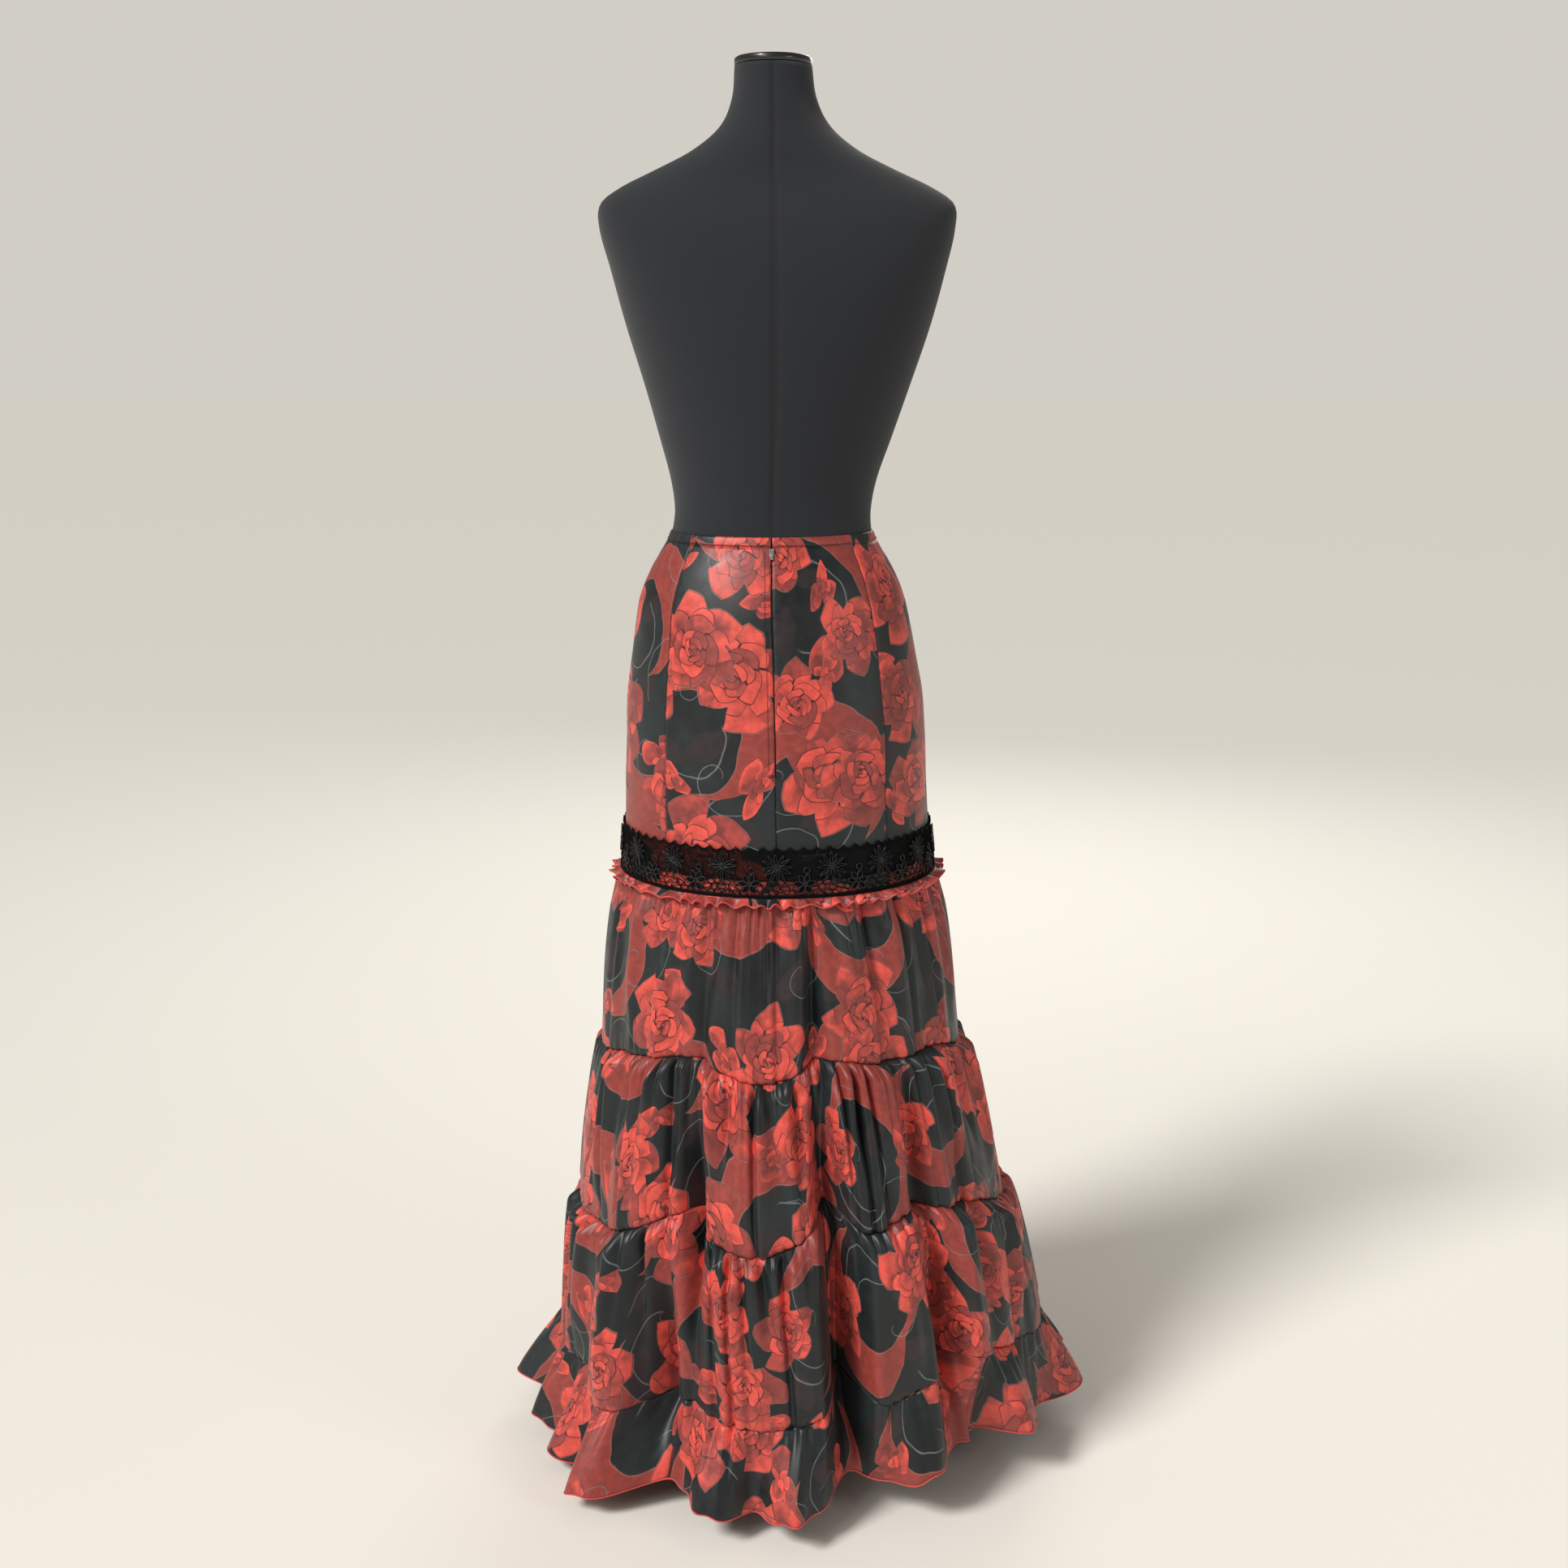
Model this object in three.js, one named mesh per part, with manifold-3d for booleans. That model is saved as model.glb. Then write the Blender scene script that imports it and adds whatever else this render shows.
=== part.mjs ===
// A long flamenco skirt with its zip at the back, standing on a limbless dress form.
// Millimetres, +Z up. The wearer faces +Y, so the zip side looks along -Y. The origin is the centre
// of the stand's underside, on the floor.
//
// Round the body a place is an angle in degrees: 0 is centre back, 90 is the wearer's right, 180 is
// centre front. Down a piece it is v, from 0 at the upper edge to 1 at the lower one.

import * as THREE from "three";
import { mergeVertices } from "three/addons/utils/BufferGeometryUtils.js";
import Module from "manifold-3d";

const wasm = await Module();
wasm.setup();

// ---- Driving dimensions ----
const CLOTH = 1.4; // wall of the satin
const SEAM = 0.3; // gap left between pieces that are sewn together
const WAIST_TOP = 1057; // height of the waistband's upper edge
const WAISTBAND_HEIGHT = 9;
const YOKE_BOTTOM = 682; // where the gored yoke meets the first tier
const ZIP_END = 812; // lower stop of the zip
const ZIP_SLIT = 1.4; // width of the closed zip's slit
const TAPE = { thick: 0.7, wide: 20, behind: 0.4, bottom: 803, top: 1046 };
const SLIDER = { wide: 4.8, top: 1046, bottom: 1038, thick: 1.2, ear: 0.6, earOut: 1.6 };
const PULL = { wide: 3, long: 11, thick: 0.8, above: 0.5, stand: 0.95 };
const LACE = { thick: 1.6, over: 0.9, top: 737, bottom: 682.4, repeats: 17, columnDegrees: 9 };
const DAISY = { radius: 15, proud: 1.4, sunk: 1.1, height: 717, sides: 8 };
const EYELET = { wide: 7.6, high: 5, sides: 6 };
const FRILL = { top: 681.6, drop: 14, flare: 8, wave: 3.2, waves: 30, start: 1.4 };
const RUFFLE_DROP = 92; // height of the hem ruffle below its seam
const FORM_CLEARANCE = 0.3; // between the form's own pieces
const BASE = { radius: 150, thick: 13, bevel: 3 };
const POLE_RADIUS = 13;
const NECK_CAP = 8;

// The skirt's yoke: half width, half depth and sideways shift at each height.
const YOKE = [
  { z: 1057, wide: 109, deep: 86, shift: 0 },
  { z: 1045, wide: 114, deep: 90, shift: 0 },
  { z: 1014, wide: 132, deep: 104, shift: 0 },
  { z: 985, wide: 144, deep: 113, shift: 0 },
  { z: 956, wide: 150, deep: 119, shift: 1 },
  { z: 925, wide: 155, deep: 124, shift: 2 },
  { z: 879, wide: 162, deep: 129, shift: 3 },
  { z: 834, wide: 165, deep: 133, shift: 4 },
  { z: 787, wide: 167, deep: 135, shift: 4 },
  { z: 737, wide: 169, deep: 137, shift: 5 },
  { z: 682, wide: 174, deep: 141, shift: 6 },
];

// The three gathered tiers, from the upper edge (v 0) to the lower one (v 1) of each.
const TIERS = [
  { tier: 1, v: 0, wide: 174, deep: 141, shift: 6 },
  { tier: 1, v: 0.08, wide: 177, deep: 145, shift: 6 },
  { tier: 1, v: 0.25, wide: 187, deep: 154, shift: 7 },
  { tier: 1, v: 0.55, wide: 196, deep: 166, shift: 8 },
  { tier: 1, v: 1, wide: 203, deep: 178, shift: 10 },
  { tier: 2, v: 0, wide: 203, deep: 178, shift: 10 },
  { tier: 2, v: 0.08, wide: 212, deep: 187, shift: 11 },
  { tier: 2, v: 0.4, wide: 227, deep: 202, shift: 14 },
  { tier: 2, v: 0.75, wide: 239, deep: 213, shift: 17 },
  { tier: 2, v: 1, wide: 245, deep: 219, shift: 20 },
  { tier: 3, v: 0, wide: 245, deep: 219, shift: 20 },
  { tier: 3, v: 0.1, wide: 257, deep: 230, shift: 23 },
  { tier: 3, v: 0.4, wide: 269, deep: 240, shift: 27 },
  { tier: 3, v: 0.75, wide: 278, deep: 248, shift: 32 },
  { tier: 3, v: 1, wide: 283, deep: 252, shift: 35 },
];

// Heights of the three seams under the tiers, round the body.
const SEAMS = [
  { at: -122, tier1: 478, tier2: 290, tier3: 126 },
  { at: -104, tier1: 486, tier2: 302, tier3: 140 },
  { at: -84, tier1: 474, tier2: 284, tier3: 120 },
  { at: -62, tier1: 490, tier2: 290, tier3: 108 },
  { at: -46, tier1: 500, tier2: 314, tier3: 112 },
  { at: -31, tier1: 507, tier2: 341, tier3: 138 },
  { at: -20, tier1: 495, tier2: 317, tier3: 126 },
  { at: -8, tier1: 487, tier2: 309, tier3: 123 },
  { at: 3, tier1: 493, tier2: 324, tier3: 132 },
  { at: 12, tier1: 508, tier2: 350, tier3: 152 },
  { at: 22, tier1: 509, tier2: 331, tier3: 142 },
  { at: 33, tier1: 501, tier2: 341, tier3: 158 },
  { at: 46, tier1: 499, tier2: 335, tier3: 166 },
  { at: 62, tier1: 500, tier2: 322, tier3: 150 },
  { at: 84, tier1: 478, tier2: 290, tier3: 130 },
  { at: 104, tier1: 488, tier2: 308, tier3: 146 },
  { at: 121, tier1: 478, tier2: 288, tier3: 126 },
  { at: 138, tier1: 490, tier2: 312, tier3: 150 },
  { at: 159, tier1: 482, tier2: 294, tier3: 128 },
  { at: 181, tier1: 496, tier2: 322, tier3: 152 },
  { at: 200, tier1: 482, tier2: 292, tier3: 126 },
  { at: 219, tier1: 490, tier2: 310, tier3: 148 },
];

// The hanging folds: place, half width in degrees, and how far the cloth moves out (or in, below 0)
// at the lower edge of each tier.
const FOLDS = [
  { at: -66, half: 12, tier1: -4, tier2: -8, tier3: -14 },
  { at: -50, half: 14, tier1: 2, tier2: 8, tier3: 26 },
  { at: -39, half: 9, tier1: -6, tier2: -14, tier3: -56 },
  { at: -29, half: 7, tier1: -10, tier2: -40, tier3: -6 },
  { at: -20, half: 6, tier1: -4, tier2: 0, tier3: 0 },
  { at: -12, half: 17, tier1: 4, tier2: 10, tier3: 8 },
  { at: -3, half: 5, tier1: -2, tier2: -2, tier3: 0 },
  { at: 12, half: 8, tier1: -18, tier2: -52, tier3: -90 },
  { at: 25, half: 10, tier1: 3, tier2: 6, tier3: -4 },
  { at: 41, half: 8, tier1: -8, tier2: -28, tier3: -62 },
  { at: 56, half: 8, tier1: -4, tier2: -10, tier3: -16 },
  { at: 68, half: 14, tier1: 0, tier2: 0, tier3: -16 },
  { at: 104, half: 10, tier1: -5, tier2: -16, tier3: -40 },
  { at: 122, half: 10, tier1: 0, tier2: 6, tier3: 12 },
  { at: 138, half: 9, tier1: -7, tier2: -24, tier3: -56 },
  { at: 160, half: 9, tier1: -3, tier2: -8, tier3: -20 },
  { at: 181, half: 10, tier1: -8, tier2: -32, tier3: -70 },
  { at: 203, half: 11, tier1: 2, tier2: 6, tier3: 10 },
  { at: 219, half: 9, tier1: -6, tier2: -20, tier3: -50 },
  { at: 240, half: 9, tier1: -3, tier2: -10, tier3: -22 },
  { at: 256, half: 9, tier1: -6, tier2: -12, tier3: -32 },
];

// Gathers at the top of each tier: how many, and how far they move the cloth.
const GATHERS = { 1: { count: 24, deep: 2.2 }, 2: { count: 32, deep: 3 }, 3: { count: 36, deep: 3.4 } };
const GATHER_FULL_AT = 0.08; // v where they are deepest
const GATHER_FADE = 2.4;

// The hem ruffle's waves: each crest, how far it stands out of the hem's oval, and how far the dip
// after it stands in.
const HEM = { wide: 300, deep: 270, shift: 35 };
const WAVES = [
  { at: -92, out: 42, dip: 2 },
  { at: -78, out: 26, dip: 2 },
  { at: -65, out: 30, dip: 8 },
  { at: -49, out: 58, dip: 16 },
  { at: -20, out: 32, dip: 0 },
  { at: -2, out: 32, dip: 46 },
  { at: 30, out: 12, dip: 20 },
  { at: 44, out: -24, dip: 44 },
  { at: 58, out: 14, dip: 20 },
  { at: 88, out: 34, dip: 8 },
  { at: 100, out: 26, dip: 18 },
  { at: 117, out: 22, dip: 30 },
  { at: 134, out: 30, dip: 24 },
  { at: 151, out: 18, dip: 28 },
  { at: 168, out: 30, dip: 38 },
  { at: 186, out: 16, dip: 26 },
  { at: 203, out: 30, dip: 18 },
  { at: 220, out: 24, dip: 32 },
  { at: 237, out: 20, dip: 20 },
  { at: 252, out: 30, dip: 6 },
];
const HEM_LIFT = 0.15; // how far a crest rises for each millimetre that it stands out

// The dress form, from its underside to its neck: half width, depth to the back and to the front,
// sideways shift, and how square its section is (2 is an oval).
const FORM = [
  { z: 758, wide: 146, back: 112, front: 112, shift: 4, square: 2 },
  { z: 766, wide: 157, back: 123, front: 123, shift: 4, square: 2 },
  { z: 790, wide: 162, back: 129.5, front: 129, shift: 4, square: 2 },
  { z: 834, wide: 161.5, back: 129.5, front: 129, shift: 4, square: 2 },
  { z: 879, wide: 158, back: 125, front: 125, shift: 3, square: 2 },
  { z: 925, wide: 151, back: 120, front: 120, shift: 2, square: 2 },
  { z: 956, wide: 146, back: 115, front: 115, shift: 1, square: 2 },
  { z: 985, wide: 140, back: 109, front: 109, shift: 0, square: 2 },
  { z: 1014, wide: 128, back: 100, front: 100, shift: 0, square: 2 },
  { z: 1034, wide: 115.5, back: 91, front: 91, shift: 0, square: 2 },
  { z: 1048, wide: 110.5, back: 86.8, front: 86.8, shift: 0, square: 2 },
  { z: 1057, wide: 107.8, back: 84.8, front: 84.8, shift: 0, square: 2 },
  { z: 1080, wide: 106, back: 83, front: 86, shift: 1, square: 2 },
  { z: 1112, wide: 111, back: 85, front: 94, shift: 2, square: 2 },
  { z: 1155, wide: 124, back: 91, front: 106, shift: 4, square: 2 },
  { z: 1210, wide: 141, back: 99, front: 124, shift: 6, square: 2.1 },
  { z: 1273, wide: 161, back: 105, front: 130, shift: 7, square: 2.2 },
  { z: 1330, wide: 176, back: 103, front: 112, shift: 7, square: 2.4 },
  { z: 1372, wide: 186, back: 92, front: 92, shift: 6, square: 2.5 },
  { z: 1396, wide: 184, back: 80, front: 78, shift: 6, square: 2.5 },
  { z: 1412, wide: 162, back: 72, front: 66, shift: 5, square: 2.4 },
  { z: 1428, wide: 128, back: 66, front: 56, shift: 4, square: 2.3 },
  { z: 1448, wide: 88, back: 62, front: 48, shift: 4, square: 2.1 },
  { z: 1472, wide: 58, back: 56, front: 44, shift: 4, square: 2 },
  { z: 1500, wide: 44, back: 50, front: 42, shift: 3, square: 2 },
  { z: 1532, wide: 40, back: 46, front: 42, shift: 2, square: 2 },
];

// The gores of the yoke: their edges at the waist and at the yoke's lower edge.
const GORES = [
  { name: "back_left", waist: [-56, 0], bottom: [-50, 0] },
  { name: "back_right", waist: [0, 56], bottom: [0, 50] },
  { name: "side_back_right", waist: [56, 92], bottom: [50, 94] },
  { name: "side_front_right", waist: [92, 130], bottom: [94, 136] },
  { name: "front", waist: [130, 230], bottom: [136, 224] },
  { name: "side_front_left", waist: [230, 268], bottom: [224, 266] },
  { name: "side_back_left", waist: [268, 304], bottom: [266, 310] },
];

// The widths of cloth that each round piece is sewn from: where the first one starts, then the
// seams in turn.
const WIDTHS = {
  frill: { names: ["back", "front"], seams: [-90, 90, 270] },
  tier1: { names: ["back", "front"], seams: [-90, 90, 270] },
  tier2: { names: ["back", "front_right", "front_left"], seams: [-105, 40, 137.5, 255] },
  tier3: { names: ["back_left", "back_right", "front_right", "front_left"], seams: [-105, 10, 105, 180, 255] },
  ruffle: { names: ["back", "right", "front", "left"], seams: [-35, 50, 142.5, 227.5, 325] },
};

// Mesh columns for a full turn, and the rows down each piece. The tiers share theirs, and their
// seams lie on them, so that the bent rims meet.
const COLUMNS = { waistband: 44, tier1: 144, tier2: 144, tier3: 144, ruffle: 144, frill: 96, form: 24 };
const TIER_ROWS = [0, 0.08, 0.4, 1];
const RUFFLE_ROWS = [0, 0.12, 0.5, 1];
const GORE_COLUMN_DEGREES = 9.5;
const GORE_ROWS = [1014, 985, 925, 834, 737];

// ---- Materials ----
const satin = (name, color) => new THREE.MeshStandardMaterial({ name, color, roughness: 0.45 });
const MATERIALS = {
  satin: satin("printed_satin", 0x8c3a34),
  satinDark: satin("printed_satin_tier", 0x6e302d),
  lace: new THREE.MeshStandardMaterial({ name: "black_lace", color: 0x0b0b0c, roughness: 0.85 }),
  tape: new THREE.MeshStandardMaterial({ name: "zip_tape", color: 0x101214, roughness: 0.9 }),
  steel: new THREE.MeshStandardMaterial({ name: "zip_metal", color: 0xc9c9c6, metalness: 1, roughness: 0.3 }),
  cover: new THREE.MeshStandardMaterial({ name: "form_cover", color: 0x232936, roughness: 0.95 }),
  stand: new THREE.MeshStandardMaterial({ name: "stand_enamel", color: 0x141517, roughness: 0.4 }),
};

// ---- Curves through tables ----

// A smooth curve through the points (xs, ys), with the slope at each from its neighbours.
function smoothCurve(xs, ys, x) {
  const last = xs.length - 1;
  const t = Math.min(Math.max(x, xs[0]), xs[last]);
  const k = Math.min(Math.max(xs.findIndex((v) => v > t) - 1, 0), last - 1);
  const i = t >= xs[last] ? last - 1 : k;
  const slope = (j) => {
    const a = Math.max(j - 1, 0);
    const b = Math.min(j + 1, last);
    return (ys[b] - ys[a]) / (xs[b] - xs[a]);
  };
  const h = xs[i + 1] - xs[i];
  const u = (t - xs[i]) / h;
  const near = ys[i] * (1 + 2 * u) * (1 - u) ** 2 + h * slope(i) * u * (1 - u) ** 2;
  return near + ys[i + 1] * u * u * (3 - 2 * u) - h * slope(i + 1) * u * u * (1 - u);
}

function column(rows, by, name) {
  return { xs: rows.map((row) => row[by]), ys: rows.map((row) => row[name]) };
}

// The same curve round the body, where it closes on itself.
function ringCurve(knots) {
  const turns = [-360, 0, 360].flatMap((turn) => knots.map(([at, value]) => [at + turn, value]));
  const sorted = turns.sort((a, b) => a[0] - b[0]);
  const xs = sorted.map((knot) => knot[0]);
  const ys = sorted.map((knot) => knot[1]);
  return (angle) => smoothCurve(xs, ys, turned(angle));
}

// The same angle between -180 and 180.
function turned(angle) {
  return angle - 360 * Math.round(angle / 360);
}

const { degToRad, radToDeg, lerp } = THREE.MathUtils;

// Distance from an oval's middle to its edge. Above 2, square fills its corners out.
function oval(wide, deep, angle, square = 2) {
  const a = degToRad(angle);
  const [across, along] = [Math.abs(Math.sin(a) / wide), Math.abs(Math.cos(a) / deep)];
  return (across ** square + along ** square) ** (-1 / square);
}

function place(angle, radius, z, shift) {
  const a = degToRad(angle);
  return new THREE.Vector3(shift + radius * Math.sin(a), -radius * Math.cos(a), z);
}

// ---- The surfaces, each the middle of its cloth ----

const yokeColumns = Object.fromEntries(
  ["wide", "deep", "shift"].map((name) => [name, column([...YOKE].reverse(), "z", name)]),
);

function yokeAt(name, z) {
  const { xs, ys } = yokeColumns[name];
  return smoothCurve(xs, ys, z);
}

function yokeSurface(angle, z, out = 0) {
  return place(angle, oval(yokeAt("wide", z), yokeAt("deep", z), angle) + out, z, yokeAt("shift", z));
}

const tierColumns = [1, 2, 3].map((tier) => {
  const rows = TIERS.filter((row) => row.tier === tier);
  return Object.fromEntries(["wide", "deep", "shift"].map((name) => [name, column(rows, "v", name)]));
});

function tierAt(tier, name, v) {
  const { xs, ys } = tierColumns[tier - 1][name];
  return smoothCurve(xs, ys, v);
}

const seamHeights = [1, 2, 3].map((tier) => ringCurve(SEAMS.map((row) => [row.at, row[`tier${tier}`]])));

// Height of the seam under a tier. Number 0 is the yoke's seam.
function seamHeight(tier, angle) {
  return tier === 0 ? YOKE_BOTTOM : seamHeights[tier - 1](angle);
}

// A soft rise from 0 at both ends to 1 in the middle.
function swell(distance, half) {
  return Math.abs(distance) < half ? (0.5 + 0.5 * Math.cos((Math.PI * distance) / half)) ** 1.2 : 0;
}

// How far the folds move the cloth at a place on a tier.
function foldOffset(tier, angle, v) {
  return FOLDS.reduce((sum, fold) => {
    const above = tier === 1 ? 0 : fold[`tier${tier - 1}`];
    const here = fold[`tier${tier}`];
    return sum + lerp(above, here, v * v * (3 - 2 * v)) * swell(turned(angle - fold.at), fold.half);
  }, 0);
}

// Gathers start at the seam, are deepest a little below it and fade down the tier.
function gatherOffset(tier, angle, v) {
  const { count, deep } = GATHERS[tier];
  const a = degToRad(angle);
  const phase = count * a + 1.3 * Math.sin(3 * a + tier) + 0.8 * Math.sin(7 * a + 2 * tier);
  return deep * Math.min(1, v / GATHER_FULL_AT) * Math.exp(-GATHER_FADE * v) * Math.cos(phase);
}

function tierRadius(tier, angle, v) {
  const body = oval(tierAt(tier, "wide", v), tierAt(tier, "deep", v), angle);
  return body + foldOffset(tier, angle, v) + gatherOffset(tier, angle, v);
}

function tierSurface(tier, angle, v) {
  const z = lerp(seamHeight(tier - 1, angle) - SEAM / 2, seamHeight(tier, angle) + SEAM / 2, v);
  return place(angle, tierRadius(tier, angle, v), z, tierAt(tier, "shift", v));
}

// Crests and dips of the hem, in turn round the body.
const hemWave = ringCurve(
  WAVES.flatMap((wave, i) => {
    const next = i + 1 < WAVES.length ? WAVES[i + 1].at : WAVES[0].at + 360;
    return [
      [wave.at, wave.out],
      [(wave.at + next) / 2, -wave.dip],
    ];
  }),
);

function ruffleSurface(angle, v) {
  const top = seamHeight(3, angle) - SEAM / 2;
  const spread = Math.sin((v * Math.PI) / 2) * 0.35 + v * 0.65;
  const radius = lerp(tierRadius(3, angle, 1), oval(HEM.wide, HEM.deep, angle) + hemWave(angle), spread);
  const drop = RUFFLE_DROP - HEM_LIFT * hemWave(angle);
  return place(angle, radius, top - drop * v, lerp(tierAt(3, "shift", 1), HEM.shift, v));
}

function frillSurface(angle, v) {
  const a = degToRad(angle);
  const wave = Math.cos(FRILL.waves * a + 1.1 * Math.sin(4 * a) + 0.9 * Math.sin(9 * a + 1));
  const base = CLOTH / 2 + LACE.over + LACE.thick / 2;
  const out = base + FRILL.start * v + FRILL.flare * v * v ** 0.3 + FRILL.wave * v * wave;
  return yokeSurface(angle, FRILL.top - FRILL.drop * v, out).setZ(FRILL.top - FRILL.drop * v);
}

// ---- Cloth walls ----

// A closed wall round a surface. edges(v) gives its two side angles, rows the places down it and
// columns how many strips it has. Its rims keep level, so that pieces meet along them.
function wall({ surface, edges, rows, columns, thick = CLOTH, out = 0 }) {
  const points = [];
  const step = { angle: 0.05, v: (rows[rows.length - 1] - rows[0]) * 1e-3 };
  const [first, last] = [rows[0], rows[rows.length - 1]];
  const inside = (v) => (first < last ? Math.min(Math.max(v, first), last) : Math.max(Math.min(v, first), last));
  for (const v of rows) {
    const [left, right] = edges(v);
    for (let i = 0; i <= columns; i++) {
      const angle = lerp(left, right, i / columns);
      const across = surface(angle + step.angle, v).sub(surface(angle - step.angle, v));
      const down = surface(angle, inside(v + step.v)).sub(surface(angle, inside(v - step.v)));
      const isRim = v === first || v === last;
      const normal = isRim ? new THREE.Vector3(0, 0, -1).cross(across).normalize() : down.cross(across).normalize();
      const middle = surface(angle, v);
      points.push(middle.clone().addScaledVector(normal, out + thick / 2));
      points.push(middle.clone().addScaledVector(normal, out - thick / 2));
    }
  }
  const at = (row, i, inner) => 2 * (row * (columns + 1) + i) + inner;
  const index = [];
  const quad = (a, b, c, d) => index.push(a, b, c, a, c, d);
  const bottom = rows.length - 1;
  for (let row = 0; row < bottom; row++) {
    for (let i = 0; i < columns; i++) {
      quad(at(row, i, 0), at(row + 1, i, 0), at(row + 1, i + 1, 0), at(row, i + 1, 0));
      quad(at(row, i, 1), at(row, i + 1, 1), at(row + 1, i + 1, 1), at(row + 1, i, 1));
    }
    quad(at(row, 0, 0), at(row, 0, 1), at(row + 1, 0, 1), at(row + 1, 0, 0));
    quad(at(row, columns, 0), at(row + 1, columns, 0), at(row + 1, columns, 1), at(row, columns, 1));
  }
  for (let i = 0; i < columns; i++) {
    quad(at(0, i, 0), at(0, i + 1, 0), at(0, i + 1, 1), at(0, i, 1));
    quad(at(bottom, i, 0), at(bottom, i, 1), at(bottom, i + 1, 1), at(bottom, i + 1, 0));
  }
  return new THREE.BufferGeometry().setFromPoints(points).setIndex(index);
}

const part = new THREE.Group();

function add(name, geometry, material) {
  const mesh = new THREE.Mesh(geometry, material);
  mesh.name = name;
  part.add(mesh);
}

// Half of a gap of this width, as an angle on the yoke at a height.
function halfGap(width, z) {
  return radToDeg(width / 2 / yokeAt("deep", z));
}

// ---- Waistband and gores ----

// The waistband opens at the centre back, where the zip closes it.
function buildWaistband() {
  const bottom = WAIST_TOP - WAISTBAND_HEIGHT;
  const edges = (z) => [halfGap(ZIP_SLIT, z), 360 - halfGap(ZIP_SLIT, z)];
  const rows = [WAIST_TOP, bottom];
  add("waistband", wall({ surface: yokeSurface, edges, rows, columns: COLUMNS.waistband }), MATERIALS.satin);
}

// The edges at the centre back stand apart over the zip and meet below it.
function goreGap(isCentre, z) {
  return halfGap(isCentre && z > ZIP_END ? ZIP_SLIT : SEAM, z);
}

function buildGores() {
  const top = WAIST_TOP - WAISTBAND_HEIGHT - SEAM;
  const bottom = YOKE_BOTTOM + SEAM / 2;
  for (const gore of GORES) {
    const edges = (z) => {
      const v = ((top - z) / (top - bottom)) ** 0.45; // the princess seams run in fast below the waist
      const left = lerp(gore.waist[0], gore.bottom[0], v);
      const right = lerp(gore.waist[1], gore.bottom[1], v);
      return [left + goreGap(left === 0, z), right - goreGap(right === 0, z)];
    };
    const zipRows = gore.name.startsWith("back") ? [ZIP_END + 1, ZIP_END - 1] : [];
    const rows = [top, ...GORE_ROWS, ...zipRows, bottom].sort((a, b) => b - a);
    const columns = Math.round((gore.bottom[1] - gore.bottom[0]) / GORE_COLUMN_DEGREES);
    add(gore.name, wall({ surface: yokeSurface, edges, rows, columns }), MATERIALS.satin);
  }
}

// ---- Zip ----

function buildZip() {
  const out = -(CLOTH / 2 + TAPE.behind + TAPE.thick / 2);
  const edges = (z) => [-halfGap(TAPE.wide, z), halfGap(TAPE.wide, z)];
  const rows = [TAPE.top, 1014, 985, 925, 834, TAPE.bottom];
  add("zip_tape", wall({ surface: yokeSurface, edges, rows, columns: 4, thick: TAPE.thick, out }), MATERIALS.tape);

  // The slider lies on the slit's outer edges, with an ear each side of the pull's hinge.
  const middle = (SLIDER.top + SLIDER.bottom) / 2;
  const high = SLIDER.top - SLIDER.bottom;
  const lean = Math.atan2(yokeAt("deep", SLIDER.bottom) - yokeAt("deep", SLIDER.top), high);
  const face = new THREE.Group();
  face.position.set(0, -(yokeAt("deep", middle) + CLOTH / 2 + SEAM * 1.4), middle);
  face.rotation.x = -lean;
  const plate = new THREE.BoxGeometry(SLIDER.wide, SLIDER.thick, high);
  const ears = [-1, 1].map((side) => {
    const ear = new THREE.BoxGeometry(SLIDER.ear, SLIDER.earOut + 0.2, 2.4);
    const x = side * (SLIDER.wide - SLIDER.ear) * 0.5;
    return ear.translate(x, -SLIDER.thick / 2 - SLIDER.earOut / 2 + 0.1, high / 2 - 1.2);
  });
  const slider = new THREE.Mesh(joined([plate, ...ears]), MATERIALS.steel);
  slider.name = "zip_slider";
  slider.position.y = -SLIDER.thick / 2;

  // The pull hangs from its hinge between the ears.
  const tab = new THREE.BoxGeometry(PULL.wide, PULL.thick, PULL.long);
  const pull = new THREE.Mesh(tab.translate(0, 0, PULL.above - PULL.long / 2), MATERIALS.steel);
  pull.name = "zip_pull";
  pull.position.set(0, -SLIDER.thick - PULL.stand, high / 2 - 1.2);
  face.add(slider, pull);
  part.add(face);
}

// ---- Boolean work ----

function toSolid(geometry) {
  const bare = geometry.clone();
  bare.deleteAttribute("normal");
  bare.deleteAttribute("uv");
  const merged = mergeVertices(bare, 1e-4);
  const mesh = new wasm.Mesh({
    numProp: 3,
    vertProperties: new Float32Array(merged.attributes.position.array),
    triVerts: new Uint32Array(merged.index.array),
  });
  return new wasm.Manifold(mesh);
}

function toGeometry(solid) {
  const { vertProperties, triVerts } = solid.getMesh();
  const geometry = new THREE.BufferGeometry();
  geometry.setAttribute("position", new THREE.BufferAttribute(new Float32Array(vertProperties), 3));
  return geometry.setIndex(new THREE.BufferAttribute(new Uint32Array(triVerts), 1));
}

function joined(geometries) {
  return toGeometry(geometries.map(toSolid).reduce((sum, solid) => sum.add(solid)));
}

// ---- Lace ----

// Angles round the yoke at equal steps along its edge, from the centre back.
function anglesAlong(z, length) {
  const fine = 0.25;
  const angles = [];
  let run = 0;
  for (let angle = 0; angle < 360 && angles.length < LACE.repeats * 2; angle += fine) {
    if (run >= angles.length * length) angles.push(angle);
    run += yokeSurface(angle + fine, z).distanceTo(yokeSurface(angle, z));
  }
  return angles;
}

function roundOf(z) {
  const spots = Array.from({ length: 361 }, (_, angle) => yokeSurface(angle, z));
  return spots.slice(1).reduce((sum, spot, i) => sum + spot.distanceTo(spots[i]), 0);
}

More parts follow.
